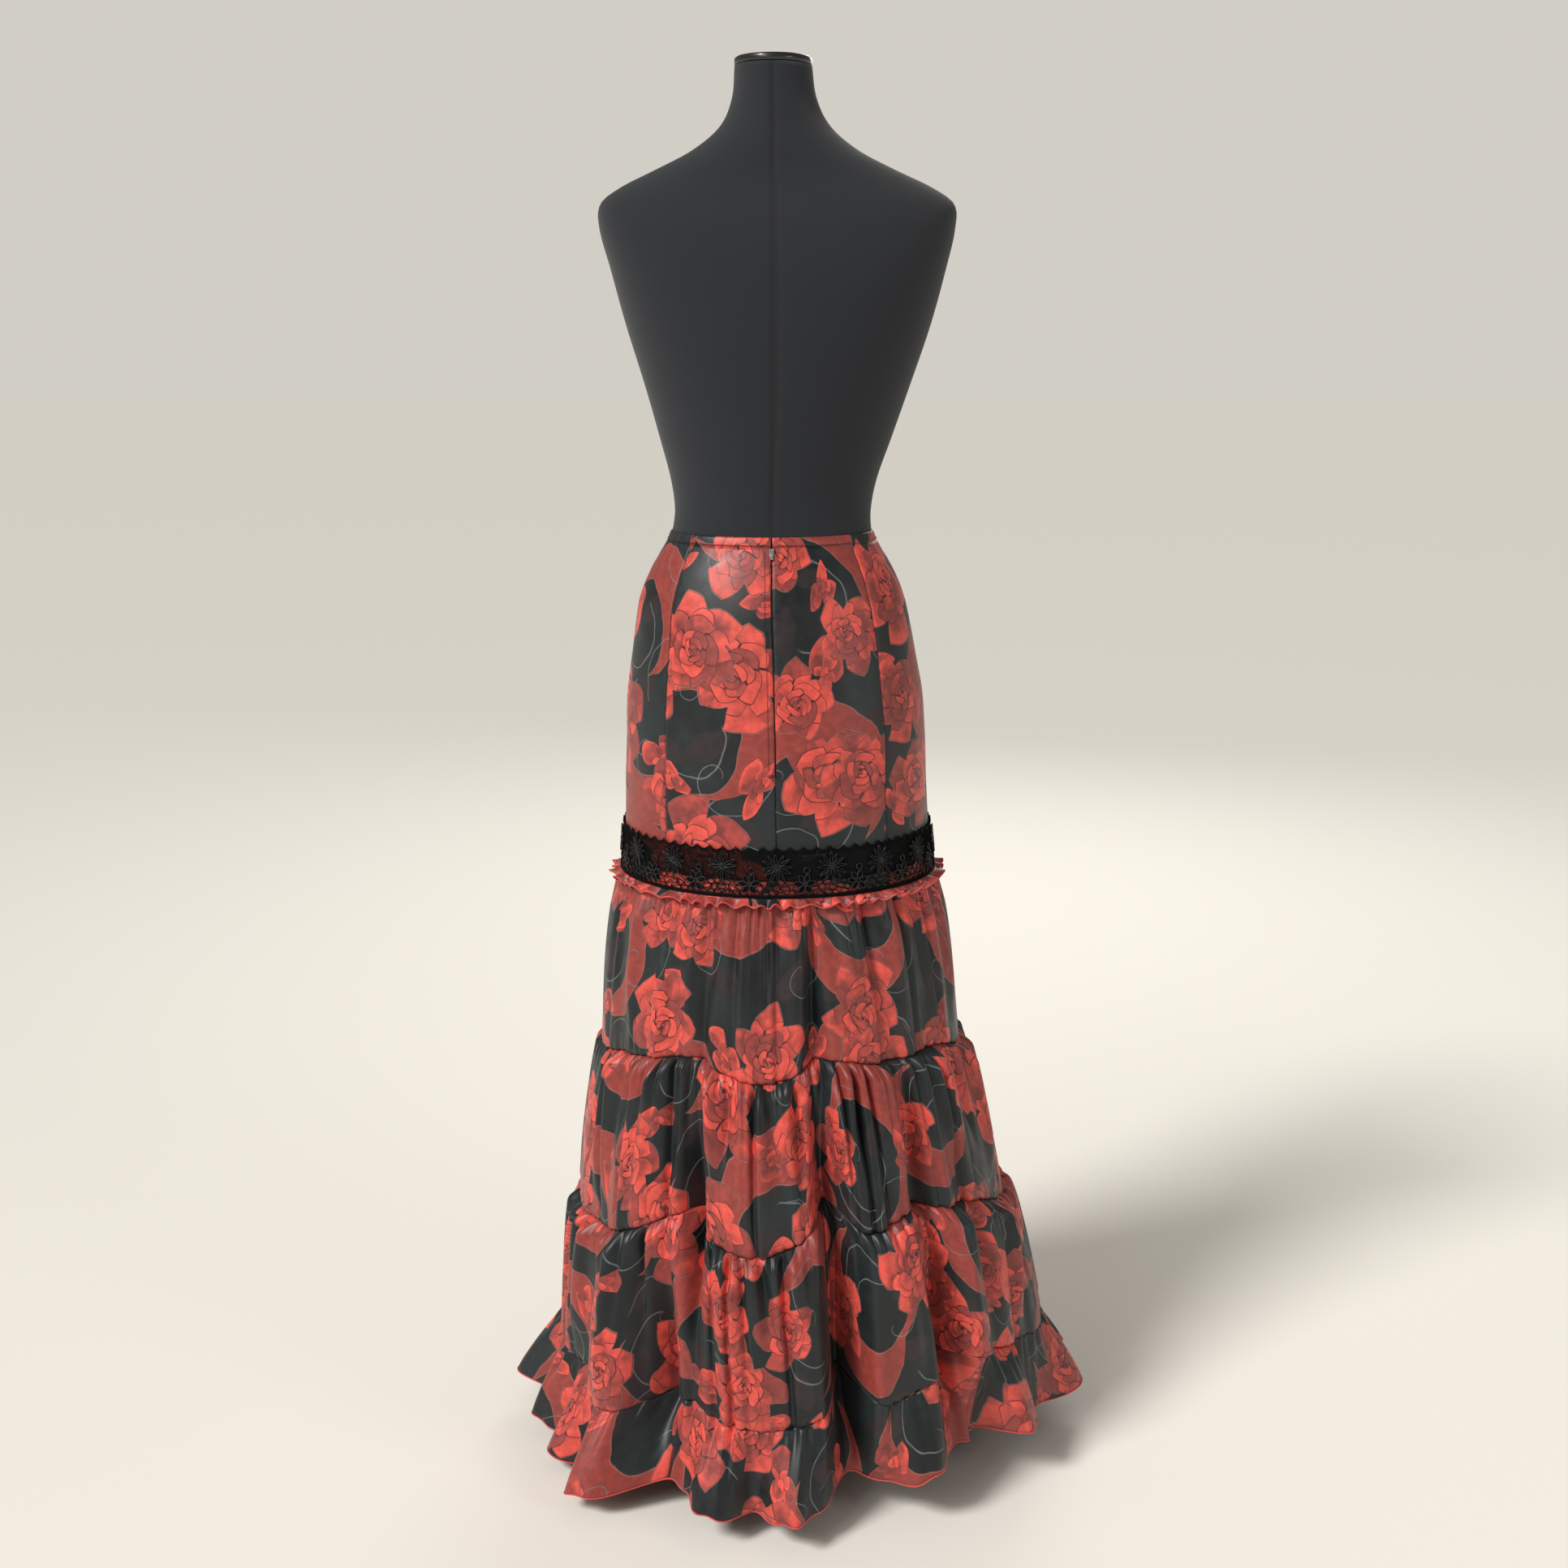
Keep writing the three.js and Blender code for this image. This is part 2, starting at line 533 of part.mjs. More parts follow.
// Turns a shape that is built along +Y so that it points out of the yoke at a place.
function setOnYoke(geometry, angle, z, out) {
  const across = yokeSurface(angle + 0.1, z).sub(yokeSurface(angle - 0.1, z));
  const down = yokeSurface(angle, z - 1).sub(yokeSurface(angle, z + 1));
  const away = down.cross(across).normalize();
  const spot = yokeSurface(angle, z).addScaledVector(away, out);
  const turn = new THREE.Quaternion().setFromUnitVectors(new THREE.Vector3(0, 1, 0), away);
  return geometry.applyQuaternion(turn).translate(spot.x, spot.y, spot.z);
}

// Each repeat holds a raised daisy and, under it, four open eyelets.
function buildLace() {
  const out = CLOTH / 2 + LACE.over + LACE.thick / 2;
  const pitch = roundOf(DAISY.height) / LACE.repeats;
  const stops = anglesAlong(DAISY.height, pitch / 2);
  const daisyAngles = stops.filter((_, i) => i % 2 === 0);
  const betweenAngles = stops.filter((_, i) => i % 2 === 1);
  const halfDegrees = betweenAngles[4]; // between the fifth daisy and the sixth
  const degreesPerMm = 180 / (Math.PI * yokeAt("wide", DAISY.height));
  const halves = [
    { name: "lace_back", seams: [-halfDegrees, halfDegrees] },
    { name: "lace_front", seams: [halfDegrees, 360 - halfDegrees] },
  ];
  for (const { name, seams } of halves) {
    const edges = () => [seams[0] + 0.06, seams[1] - 0.06];
    const columns = Math.round((seams[1] - seams[0]) / LACE.columnDegrees);
    const rows = [LACE.top, LACE.bottom];
    let band = toSolid(wall({ surface: yokeSurface, edges, rows, columns, thick: LACE.thick, out }));
    const within = (angle) => [angle - 360, angle].find((a) => a > seams[0] + 3 && a < seams[1] - 3);
    for (const angle of daisyAngles.map(within).filter((a) => a !== undefined)) {
      const high = DAISY.sunk + DAISY.proud;
      const cone = new THREE.ConeGeometry(DAISY.radius, high, DAISY.sides);
      const face = out + LACE.thick / 2;
      band = band.add(toSolid(setOnYoke(cone, angle, DAISY.height, face + high / 2 - DAISY.sunk)));
    }
    for (const angle of daisyAngles.map(within).filter((a) => a !== undefined)) {
      for (const [along, z] of [[-5.5, 698.5], [5.5, 698.5], [-11, 690], [11, 690]]) {
        const eyelet = new THREE.CylinderGeometry(0.5, 0.5, 12, EYELET.sides);
        eyelet.scale(EYELET.wide, 1, EYELET.high);
        band = band.subtract(toSolid(setOnYoke(eyelet, angle + along * degreesPerMm, z, out)));
      }
    }
    add(name, toGeometry(band), MATERIALS.lace);
  }
}

// ---- Frill, tiers and ruffle ----

// One wall for each width of cloth in a round piece.
function buildWidths(piece, surface, rows, material) {
  const { names, seams } = WIDTHS[piece];
  names.forEach((name, i) => {
    const gap = radToDeg(SEAM / 2 / 150);
    const edges = () => [seams[i] + gap, seams[i + 1] - gap];
    const columns = Math.round((COLUMNS[piece] * (seams[i + 1] - seams[i])) / 360);
    add(`${piece}_${name}`, wall({ surface, edges, rows, columns }), material);
  });
}

function buildTiers() {
  buildWidths("frill", frillSurface, [0, 1], MATERIALS.satin);
  for (const tier of [1, 2, 3]) {
    const surface = (angle, v) => tierSurface(tier, angle, v);
    buildWidths(`tier${tier}`, surface, TIER_ROWS, MATERIALS.satinDark);
  }
  buildWidths("ruffle", ruffleSurface, RUFFLE_ROWS, MATERIALS.satin);
}

// ---- Dress form and stand ----

// A closed solid through level rings, from the lowest to the highest.
function loft(rings) {
  const columns = rings[0].length;
  const points = rings.flat();
  const index = [];
  for (let row = 0; row + 1 < rings.length; row++) {
    for (let i = 0; i < columns; i++) {
      const next = (i + 1) % columns;
      const [a, b] = [row * columns + i, row * columns + next];
      index.push(a, b, b + columns, a, b + columns, a + columns);
    }
  }
  const top = (rings.length - 1) * columns;
  for (let i = 1; i + 1 < columns; i++) {
    index.push(0, i + 1, i);
    index.push(top, top + i, top + i + 1);
  }
  return new THREE.BufferGeometry().setFromPoints(points).setIndex(index);
}

function formRing({ z, wide, back, front, shift, square }) {
  return Array.from({ length: COLUMNS.form }, (_, i) => {
    const angle = (360 * i) / COLUMNS.form;
    const deep = Math.cos(degToRad(angle)) > 0 ? back : front;
    return place(angle, oval(wide, deep, angle, square), z, shift);
  });
}

function buildForm() {
  add("form_torso", loft(FORM.map(formRing)), MATERIALS.cover);
  const neck = FORM[FORM.length - 1];
  const capBottom = neck.z + FORM_CLEARANCE;
  const cap = [capBottom, capBottom + NECK_CAP].map((z) => formRing({ ...neck, z }));
  add("form_neck_cap", loft(cap), MATERIALS.stand);

  const poleBottom = BASE.thick + FORM_CLEARANCE;
  const poleTop = FORM[0].z - FORM_CLEARANCE;
  const pole = new THREE.CylinderGeometry(POLE_RADIUS, POLE_RADIUS, poleTop - poleBottom, 20);
  add("form_pole", pole.rotateX(Math.PI / 2).translate(0, 0, (poleTop + poleBottom) / 2), MATERIALS.stand);

  const profile = [
    new THREE.Vector2(0, 0),
    new THREE.Vector2(BASE.radius, 0),
    new THREE.Vector2(BASE.radius, BASE.thick - BASE.bevel),
    new THREE.Vector2(BASE.radius - BASE.bevel, BASE.thick),
    new THREE.Vector2(0, BASE.thick),
  ];
  add("form_base", new THREE.LatheGeometry(profile, 36).rotateX(Math.PI / 2), MATERIALS.stand);
}

buildForm();
buildWaistband();
buildGores();
buildZip();
buildLace();
buildTiers();

export default part;
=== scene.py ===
"""A flamenco skirt on a limbless dress form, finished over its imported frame.

Tables and formulas of the cloth are in millimetres and degrees, as the garment is measured; meshes
are in metres. Round the body 0 is centre back, 90 the wearer's right and 180 centre front. Down a
piece v runs from 0 at its upper edge to 1 at its lower one.
"""

import math
from functools import partial

import bpy
import numpy as np
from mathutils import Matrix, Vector


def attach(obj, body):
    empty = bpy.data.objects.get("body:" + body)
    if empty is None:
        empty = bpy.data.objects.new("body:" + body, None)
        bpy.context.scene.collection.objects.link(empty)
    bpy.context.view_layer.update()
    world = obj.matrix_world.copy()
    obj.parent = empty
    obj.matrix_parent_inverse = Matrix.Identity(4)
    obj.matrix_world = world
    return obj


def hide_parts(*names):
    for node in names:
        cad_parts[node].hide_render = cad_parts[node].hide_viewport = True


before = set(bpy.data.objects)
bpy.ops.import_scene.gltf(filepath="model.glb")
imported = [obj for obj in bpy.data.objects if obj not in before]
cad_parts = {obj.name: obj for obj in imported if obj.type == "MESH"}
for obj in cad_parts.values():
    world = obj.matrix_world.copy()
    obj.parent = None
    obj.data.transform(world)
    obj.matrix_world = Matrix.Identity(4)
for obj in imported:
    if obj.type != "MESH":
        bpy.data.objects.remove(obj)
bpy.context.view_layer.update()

# ---------------------------------------------------------------------------------------------
# Studio: a pale floor, a broad sun, soft boxes on both sides and beyond, and a camera behind the
# wearer, a little above the waist and tipped down.

CAMERA_PLACE = (0.013, -2.09, 1.27)
CAMERA_DOWN = 13.37  # degrees
CAMERA_LENS = 44.05  # mm on a 36 mm sensor
FLOOR_SIZE = 60.0
LIT_POINT = (0, 0, 0.75)  # what the soft boxes are turned to


def srgb(red, green, blue):
    """A colour from 0 to 255 as linear light: the power curve of the sRGB standard."""
    parts = [c / 255 for c in (red, green, blue)]
    return tuple(c / 12.92 if c <= 0.04045 else ((c + 0.055) / 1.055) ** 2.4 for c in parts) + (1.0,)


camera_data = bpy.data.cameras.new("camera")
camera_data.lens = CAMERA_LENS
camera_data.sensor_width = 36.0
camera_data.clip_end = 100.0
camera = bpy.data.objects.new("camera", camera_data)
camera.location = CAMERA_PLACE
camera.rotation_euler = (math.radians(90 - CAMERA_DOWN), 0, 0)
bpy.context.collection.objects.link(camera)
bpy.context.scene.camera = camera
bpy.context.scene.view_settings.view_transform = "Standard"
bpy.context.scene.view_settings.look = "None"

world = bpy.data.worlds.new("studio")
bpy.context.scene.world = world
world.use_nodes = True
world.node_tree.nodes["Background"].inputs["Color"].default_value = srgb(246, 242, 232)
sky = world.node_tree
seen = sky.nodes.new("ShaderNodeLightPath").outputs["Is Camera Ray"]
brightness = sky.nodes.new("ShaderNodeMapRange")
brightness.inputs["To Min"].default_value = 0.24  # what lights the room
brightness.inputs["To Max"].default_value = 0.695  # what the backdrop looks like
sky.links.new(seen, brightness.inputs["Value"])
sky.links.new(brightness.outputs[0], sky.nodes["Background"].inputs["Strength"])

sun_data = bpy.data.lights.new("sun", "SUN")
sun_data.energy = 2.42
sun_data.angle = math.radians(16)
sun_data.color = (1.0, 0.98, 0.94)
sun = bpy.data.objects.new("sun", sun_data)
sun.rotation_euler = Vector((1.35, 1.05, -1.7)).to_track_quat("-Z", "Y").to_euler()
bpy.context.collection.objects.link(sun)

for name, spot, size, power in (
    # name, place, size in metres, watts
    ("key", (-1.5, -2.2, 2.3), 1.2, 18.0),
    ("fill", (2.3, -1.7, 1.6), 0.9, 10.0),
    ("back", (0.6, 2.8, 2.2), 1.6, 26.0),
):
    light_data = bpy.data.lights.new(name, "AREA")
    light_data.energy = power
    light_data.size = size
    light_data.color = (1.0, 0.97, 0.92)
    light = bpy.data.objects.new(name, light_data)
    light.location = spot
    light.rotation_euler = (Vector(LIT_POINT) - Vector(spot)).to_track_quat("-Z", "Y").to_euler()
    bpy.context.collection.objects.link(light)

floor_material = bpy.data.materials.new("pale_floor")
floor_material.use_nodes = True
floor_shader = floor_material.node_tree.nodes["Principled BSDF"]
floor_shader.inputs["Base Color"].default_value = srgb(243, 240, 234)
floor_shader.inputs["Roughness"].default_value = 0.8
half_floor = FLOOR_SIZE / 2
floor_mesh = bpy.data.meshes.new("floor")
floor_corners = [(x * half_floor, y * half_floor, 0) for x, y in ((-1, -1), (1, -1), (1, 1), (-1, 1))]
floor_mesh.from_pydata(floor_corners, [], [(0, 1, 2, 3)])
floor_mesh.materials.append(floor_material)
floor = bpy.data.objects.new("floor", floor_mesh)
bpy.context.collection.objects.link(floor)

# ---------------------------------------------------------------------------------------------
# Dress form: a padded torso under a blue-black jersey cover that closes with a seam down the
# centre back, a flat neck cap, and an enamelled pole on a round base.

MM = 0.001
FORM = (
    # z, half width, depth to the back, depth to the front, sideways shift, squareness
    (758, 146, 112, 112, 4, 2),
    (766, 157, 123, 123, 4, 2),
    (790, 162, 129.5, 129, 4, 2),
    (834, 161.5, 129.5, 129, 4, 2),
    (879, 158, 125, 125, 3, 2),
    (925, 151, 120, 120, 2, 2),
    (956, 146, 115, 115, 1, 2),
    (985, 140, 109, 109, 0, 2),
    (1014, 128, 100, 100, 0, 2),
    (1034, 115.5, 91, 91, 0, 2),
    (1048, 110.5, 86.8, 86.8, 0, 2),
    (1057, 107.8, 84.8, 84.8, 0, 2),
    (1080, 106, 83, 86, 1, 2),
    (1112, 111, 85, 94, 2, 2),
    (1155, 124, 91, 106, 4, 2),
    (1210, 141, 99, 124, 6, 2.1),
    (1273, 161, 105, 130, 7, 2.2),
    (1330, 176, 103, 112, 7, 2.4),
    (1372, 186, 92, 92, 6, 2.5),
    (1396, 184, 80, 78, 6, 2.5),
    (1412, 162, 72, 66, 5, 2.4),
    (1428, 128, 66, 56, 4, 2.3),
    (1448, 88, 62, 48, 4, 2.1),
    (1472, 58, 56, 44, 4, 2),
    (1500, 44, 50, 42, 3, 2),
    (1532, 40, 46, 42, 2, 2),
)
FORM_COLUMNS, FORM_ROWS = 220, 150
COVER_SEAM_WIDTH, COVER_SEAM_DEPTH, COVER_SEAM_FROM = 3.2, 1.3, 1062.0


def smooth_curve(xs, ys, x):
    """The curve through the points (xs, ys): cubic pieces that share the slope between neighbours."""
    xs, ys = np.asarray(xs, float), np.asarray(ys, float)
    last = len(xs) - 1
    low, high = np.maximum(np.arange(last + 1) - 1, 0), np.minimum(np.arange(last + 1) + 1, last)
    slopes = (ys[high] - ys[low]) / (xs[high] - xs[low])
    x = np.clip(x, xs[0], xs[-1])
    i = np.clip(np.searchsorted(xs, x, side="right") - 1, 0, last - 1)
    h = xs[i + 1] - xs[i]
    u = (x - xs[i]) / h
    near = ys[i] * (1 + 2 * u) * (1 - u) ** 2 + h * slopes[i] * u * (1 - u) ** 2
    return near + ys[i + 1] * u * u * (3 - 2 * u) - h * slopes[i + 1] * u * u * (1 - u)


def oval(wide, deep, angle, square=2.0):
    """Distance from an oval's middle to its edge: 1 over the power mean of sin/wide and cos/deep."""
    a = np.radians(angle)
    return (np.abs(np.sin(a) / wide) ** square + np.abs(np.cos(a) / deep) ** square) ** (-1 / square)


def place(angle, radius, z, shift):
    """Points at an angle and radius round the body's axis, on a last axis of x, y and z."""
    a = np.radians(angle)
    return np.stack(np.broadcast_arrays(shift + radius * np.sin(a), -radius * np.cos(a), z), -1)


def turned(angle):
    """The same angle between -180 and 180: less the nearest whole number of turns."""
    return angle - 360 * np.round(np.asarray(angle) / 360)


def surface_mesh(name, points, uv=None, closed=False):
    """A mesh of quads over a grid of points in millimetres; closed joins its last column to its
    first."""
    rows, columns = points.shape[:2]
    index = np.arange(rows * columns).reshape(rows, columns)
    if closed:
        index = np.concatenate([index, index[:, :1]], 1)
    quads = np.stack([index[:-1, :-1], index[1:, :-1], index[1:, 1:], index[:-1, 1:]], -1).reshape(-1, 4)
    mesh = bpy.data.meshes.new(name)
    mesh.vertices.add(rows * columns)
    mesh.vertices.foreach_set("co", (points.reshape(-1, 3) * MM).astype(np.float32).ravel())
    mesh.loops.add(quads.size)
    mesh.loops.foreach_set("vertex_index", quads.astype(np.int32).ravel())
    mesh.polygons.add(len(quads))
    mesh.polygons.foreach_set("loop_start", np.arange(0, quads.size, 4, dtype=np.int32))
    mesh.polygons.foreach_set("use_smooth", np.ones(len(quads), bool))
    if uv is not None:
        layer = mesh.uv_layers.new(name="cloth")
        layer.uv.foreach_set("vector", uv.reshape(-1, 2)[quads.ravel()].astype(np.float32).ravel())
    mesh.update(calc_edges=True)
    mesh.validate()
    return mesh


def add_piece(name, mesh, material, slot, *nodes):
    """Puts a mesh in the scene as a piece of the still body that stands for these CAD nodes."""
    mesh.materials.append(material)
    piece = bpy.data.objects.new(name, mesh)
    bpy.context.collection.objects.link(piece)
    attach(piece, "root")
    if nodes:
        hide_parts(*nodes)
    return piece


def connect(tree, value, socket):
    """Links a socket, or sets a plain value."""
    if isinstance(value, bpy.types.NodeSocket):
        tree.links.new(value, socket)
    else:
        socket.default_value = value


def node(tree, kind, inputs=(), **settings):
    """A new shader node with its settings and inputs, by name or number."""
    made = tree.nodes.new("ShaderNode" + kind)
    for key, value in settings.items():
        setattr(made, key, value)
    for key, value in dict(inputs).items():
        connect(tree, value, made.inputs[key])
    return made


def maths(tree, operation, *values):
    """One Math node's result."""
    return node(tree, "Math", enumerate(values), operation=operation).outputs[0]


def vectors(tree, operation, *values, result="Vector"):
    """One Vector Math node's result: its Vector, or its Value for a length or a distance."""
    return node(tree, "VectorMath", enumerate(values), operation=operation).outputs[result]


def scaled(tree, vector, share):
    """A vector times a value."""
    return node(tree, "VectorMath", {0: vector, "Scale": share}, operation="SCALE").outputs[0]


def ramp(tree, value, start, end, low=0.0, high=1.0, kind="SMOOTHSTEP"):
    """A step of value from low at start to high at end, smooth or LINEAR."""
    inputs = {"Value": value, "From Min": start, "From Max": end, "To Min": low, "To Max": high}
    return node(tree, "MapRange", inputs, interpolation_type=kind).outputs[0]


def mixed(tree, factor, a, b):
    """Two colours mixed by a factor."""
    return node(tree, "Mix", {0: factor, 6: a, 7: b}, data_type="RGBA").outputs[2]


def new_material(name, **values):
    """A material with one Principled shader and its plain values. Gives it with its tree and shader."""
    material = bpy.data.materials.new(name)
    material.use_nodes = True
    shader = material.node_tree.nodes["Principled BSDF"]
    for key, value in values.items():
        shader.inputs[key.replace("_", " ")].default_value = value
    return material, material.node_tree, shader


def bump(tree, shader, height, distance, strength):
    """Raises the surface by a height, this distance in metres where the height is 1."""
    inputs = {"Height": height, "Distance": distance, "Strength": strength}
    tree.links.new(node(tree, "Bump", inputs).outputs["Normal"], shader.inputs["Normal"])


def product(tree, *values):
    """The product of two or more masks."""
    result = values[0]
    for value in values[1:]:
        result = maths(tree, "MULTIPLY", result, value)
    return result


def noise(tree, coords, scale, detail):
    """Soft noise from 0 to 1 over coordinates in metres, about scale blots to a metre."""
    return node(tree, "TexNoise", {"Vector": coords, "Scale": scale, "Detail": detail}).outputs["Fac"]


jersey, tree, shader = new_material("jersey_cover", Roughness=0.92, Sheen_Weight=0.12, Sheen_Roughness=0.6)
coords = node(tree, "TexCoord").outputs["Object"]
ribs = noise(tree, coords, 900.0, 1.0)
patches = noise(tree, coords, 7.0, 3.0)
tone = mixed(tree, patches, srgb(11, 15, 22), srgb(19, 24, 33))
tone = mixed(tree, maths(tree, "MULTIPLY", ribs, 0.35), tone, srgb(28, 35, 46))
# Painted shade: a darker line down the centre-back seam, over the cover's groove, on the back only.
axes = node(tree, "SeparateXYZ", {"Vector": coords})
off_seam = maths(tree, "ABSOLUTE", axes.outputs[0])
behind = ramp(tree, axes.outputs[1], 0.0, -0.02)
painted_seam_shade = product(tree, ramp(tree, off_seam, 0.0048, 0.0004), behind, 0.75)
connect(tree, mixed(tree, painted_seam_shade, tone, srgb(10, 12, 18)), shader.inputs["Base Color"])
bump(tree, shader, ribs, 0.0004, 0.5)

form_rows = np.array(FORM, float)
t = np.linspace(0, 1, FORM_ROWS)
closer_at_ends = 0.8 * t + 0.1 * (1 - np.cos(np.pi * t))
form_z = (form_rows[0, 0] + (form_rows[-1, 0] - form_rows[0, 0]) * closer_at_ends)[:, None]
form_angle = (np.arange(FORM_COLUMNS) * 360 / FORM_COLUMNS)[None, :]
form_columns = [smooth_curve(form_rows[:, 0], column, form_z) for column in form_rows[:, 1:].T]
wide, back, front, shift, square = form_columns
form_radius = oval(wide, np.where(np.cos(np.radians(form_angle)) > 0, back, front), form_angle, square)
seam_place = np.radians(turned(form_angle)) * form_radius / COVER_SEAM_WIDTH
form_radius = form_radius - COVER_SEAM_DEPTH * np.exp(-(seam_place**2)) * (form_z > COVER_SEAM_FROM)
torso = place(form_angle, form_radius, form_z, shift)[::-1]


def cap_rows(ring, shares):
    """Rings that close a loft's end: the ring drawn in to these shares of itself, 0 for a point."""
    middle = ring.mean(0)
    return np.stack([middle + (ring - middle) * share for share in shares])


top_cap, under = cap_rows(torso[0], (0.0, 0.5, 0.98)), cap_rows(torso[-1], (0.96, 0.5, 0.0))
torso = np.concatenate([top_cap, torso, under])
torso_mesh = surface_mesh("torso_cover", torso, closed=True)
add_piece("torso_cover", torso_mesh, jersey, "form_cover", "form_torso")

enamel, tree, shader = new_material("black_enamel", Roughness=0.35, Coat_Weight=0.3)
coords = node(tree, "TexCoord").outputs["Object"]
specks = noise(tree, coords, 260.0, 2.0)
wear = noise(tree, coords, 9.0, 4.0)
connect(tree, mixed(tree, wear, srgb(16, 17, 19), srgb(30, 31, 34)), shader.inputs["Base Color"])
connect(tree, ramp(tree, wear, 0.35, 0.7, 0.3, 0.48), shader.inputs["Roughness"])
bump(tree, shader, specks, 0.0003, 0.4)

NECK_CAP, ROUND_COLUMNS = 8.0, 96
FORM_GAP = 0.3  # between the form's own pieces
neck_z = FORM[-1][0] + FORM_GAP
cap_profile = ((0.0, 0.0), (0.96, 0.0), (1.0, 0.8), (1.0, 6.4), (0.95, NECK_CAP), (0.0, NECK_CAP))
_, cap_wide, cap_back, cap_front, cap_shift, _ = FORM[-1]
round_angle = (np.arange(ROUND_COLUMNS) * 360 / ROUND_COLUMNS)[None, :]
cap_radius = oval(cap_wide, np.where(np.cos(np.radians(round_angle)) > 0, cap_back, cap_front), round_angle)
cap_steps = np.array(cap_profile)[::-1]
cap_points = place(round_angle, cap_radius * cap_steps[:, :1], neck_z + cap_steps[:, 1:], cap_shift)
cap_mesh = surface_mesh("neck_cap", cap_points, closed=True)
add_piece("neck_cap", cap_mesh, enamel, "stand_enamel", "form_neck_cap")


def turned_solid(name, profile):
    """A turned solid: a profile of (radius, height) from the axis back to it, carried round."""
    steps = np.array(profile, float)[::-1]
    return surface_mesh(name, place(round_angle, steps[:, :1], steps[:, 1:], 0), closed=True)


POLE_RADIUS, BASE_RADIUS, BASE_THICK = 13.0, 150.0, 13.0
pole_low, pole_high = BASE_THICK + FORM_GAP, FORM[0][0] - FORM_GAP
pole_profile = [(0, pole_low), (POLE_RADIUS, pole_low), (POLE_RADIUS, pole_high), (0, pole_high)]
add_piece("pole", turned_solid("pole", pole_profile), enamel, "stand_enamel", "form_pole")
base_edge = [(BASE_RADIUS, 0), (BASE_RADIUS, 10), (BASE_RADIUS - 1, 12), (BASE_RADIUS - 3, BASE_THICK)]
base_profile = [(0, 0), *base_edge, (0, BASE_THICK)]
add_piece("base", turned_solid("base", base_profile), enamel, "stand_enamel", "form_base")

# ---------------------------------------------------------------------------------------------
# Yoke: seven gores of printed satin, fitted over the hips. The print is roses, buds and broad
# ribbons on blue-black, with thin tendrils; it breaks at each seam, as the gores are cut apart.

CLOTH = 1.0  # thickness of the satin as it is shown
YOKE = (
    # z, half width, half depth, sideways shift
    (682, 174, 141, 6),
    (737, 169, 137, 5),
    (787, 167, 135, 4),
    (834, 165, 133, 4),
    (879, 162, 129, 3),
    (925, 155, 124, 2),
    (956, 150, 119, 1),
    (985, 144, 113, 0),
    (1014, 132, 104, 0),
    (1045, 114, 90, 0),
    (1057, 109, 86, 0),
)
GORES = (
    # node, edges at the waist, edges at the yoke's lower edge
    ("back_left", (-56, 0), (-50, 0)),
    ("back_right", (0, 56), (0, 50)),
    ("side_back_right", (56, 92), (50, 94)),
    ("side_front_right", (92, 130), (94, 136)),
    ("front", (130, 230), (136, 224)),
    ("side_front_left", (230, 268), (224, 266)),
    ("side_back_left", (268, 304), (266, 310)),
)
WAIST_TOP, WAISTBAND_HEIGHT, YOKE_BOTTOM = 1057.0, 9.0, 682.0
SEAM = 0.3
ZIP_END, ZIP_SLIT = 812.0, 1.4
GORE_ROWS, GORE_COLUMNS = 84, 0.85  # columns to a degree
GORE_SPREAD = 0.45  # power of the way down: below 1, gores widen sooner
YOKE_DEGREE = 2.7  # about how many millimetres a degree is on the yoke
GORE_CUT = (197, 113)  # how far apart two gores lie on the bolt of cloth, across and down
EDGE_PUCKER, EDGE_PUCKER_REACH = 0.45, 7.0
EDGE_SINK, EDGE_SINK_REACH = 0.5, 1.6

# The print's colours: petals, the lines round them, and the ground with its leaves and tendrils.
BRIGHT, BRICK, DUSK = srgb(230, 84, 72), srgb(150, 62, 57), srgb(104, 42, 42)
OUTLINE, EDGING = srgb(72, 22, 26), srgb(156, 104, 98)
GROUND, BROWN, TENDRIL = srgb(9, 17, 20), srgb(42, 30, 34), srgb(112, 120, 124)


def new_group(name, inputs, outputs):
    """A shader node group with these named sockets. Gives the tree, its inputs and its output node."""
    group = bpy.data.node_groups.new(name, "ShaderNodeTree")
    for direction, sockets in (("INPUT", inputs), ("OUTPUT", outputs)):
        for key, kind in sockets.items():
            group.interface.new_socket(key, in_out=direction, socket_type="NodeSocket" + kind)
    entry = group.nodes.new("NodeGroupInput")
    return group, entry.outputs, group.nodes.new("NodeGroupOutput")


def use_group(tree, group, inputs):
    """A group placed in a tree with its inputs set."""
    made = tree.nodes.new("ShaderNodeGroup")
    made.node_tree = group
    for key, value in inputs.items():
        connect(tree, value, made.inputs[key])
    return made.outputs


# A ring of petals. Each has two corners of its own, with straight sides between them and the joins
# to its neighbours, and its own share of coral and brick, which run into each other as a wash does.
ring_inputs = {k: "Float" for k in ("Radius", "Turn", "Petals", "Reach", "Notch", "Swirl", "Seed", "Wash")}
ring, given, out = new_group("petal_ring", ring_inputs, {"Colour": "Color", "Inside": "Float"})
along = maths(ring, "MULTIPLY_ADD", given["Turn"], given["Petals"], given["Seed"])
along = maths(ring, "MULTIPLY_ADD", given["Swirl"], given["Radius"], along)
petal = maths(ring, "FRACT", along)
which = maths(ring, "FLOORED_MODULO", maths(ring, "FLOOR", along), given["Petals"])
key = node(ring, "CombineXYZ", {0: which, 1: given["Seed"]}).outputs[0]
draw = node(ring, "TexWhiteNoise", {"Vector": key}, noise_dimensions="2D").outputs
own = node(ring, "SeparateColor", {0: draw["Color"]}).outputs
first, last = ramp(ring, own[0], 0, 1, 0.14, 0.42), ramp(ring, own[1], 0, 1, 0.6, 0.86)
first_rise = maths(ring, "MULTIPLY", given["Notch"], ramp(ring, own[1], 0, 1, 0.55, 1.25))
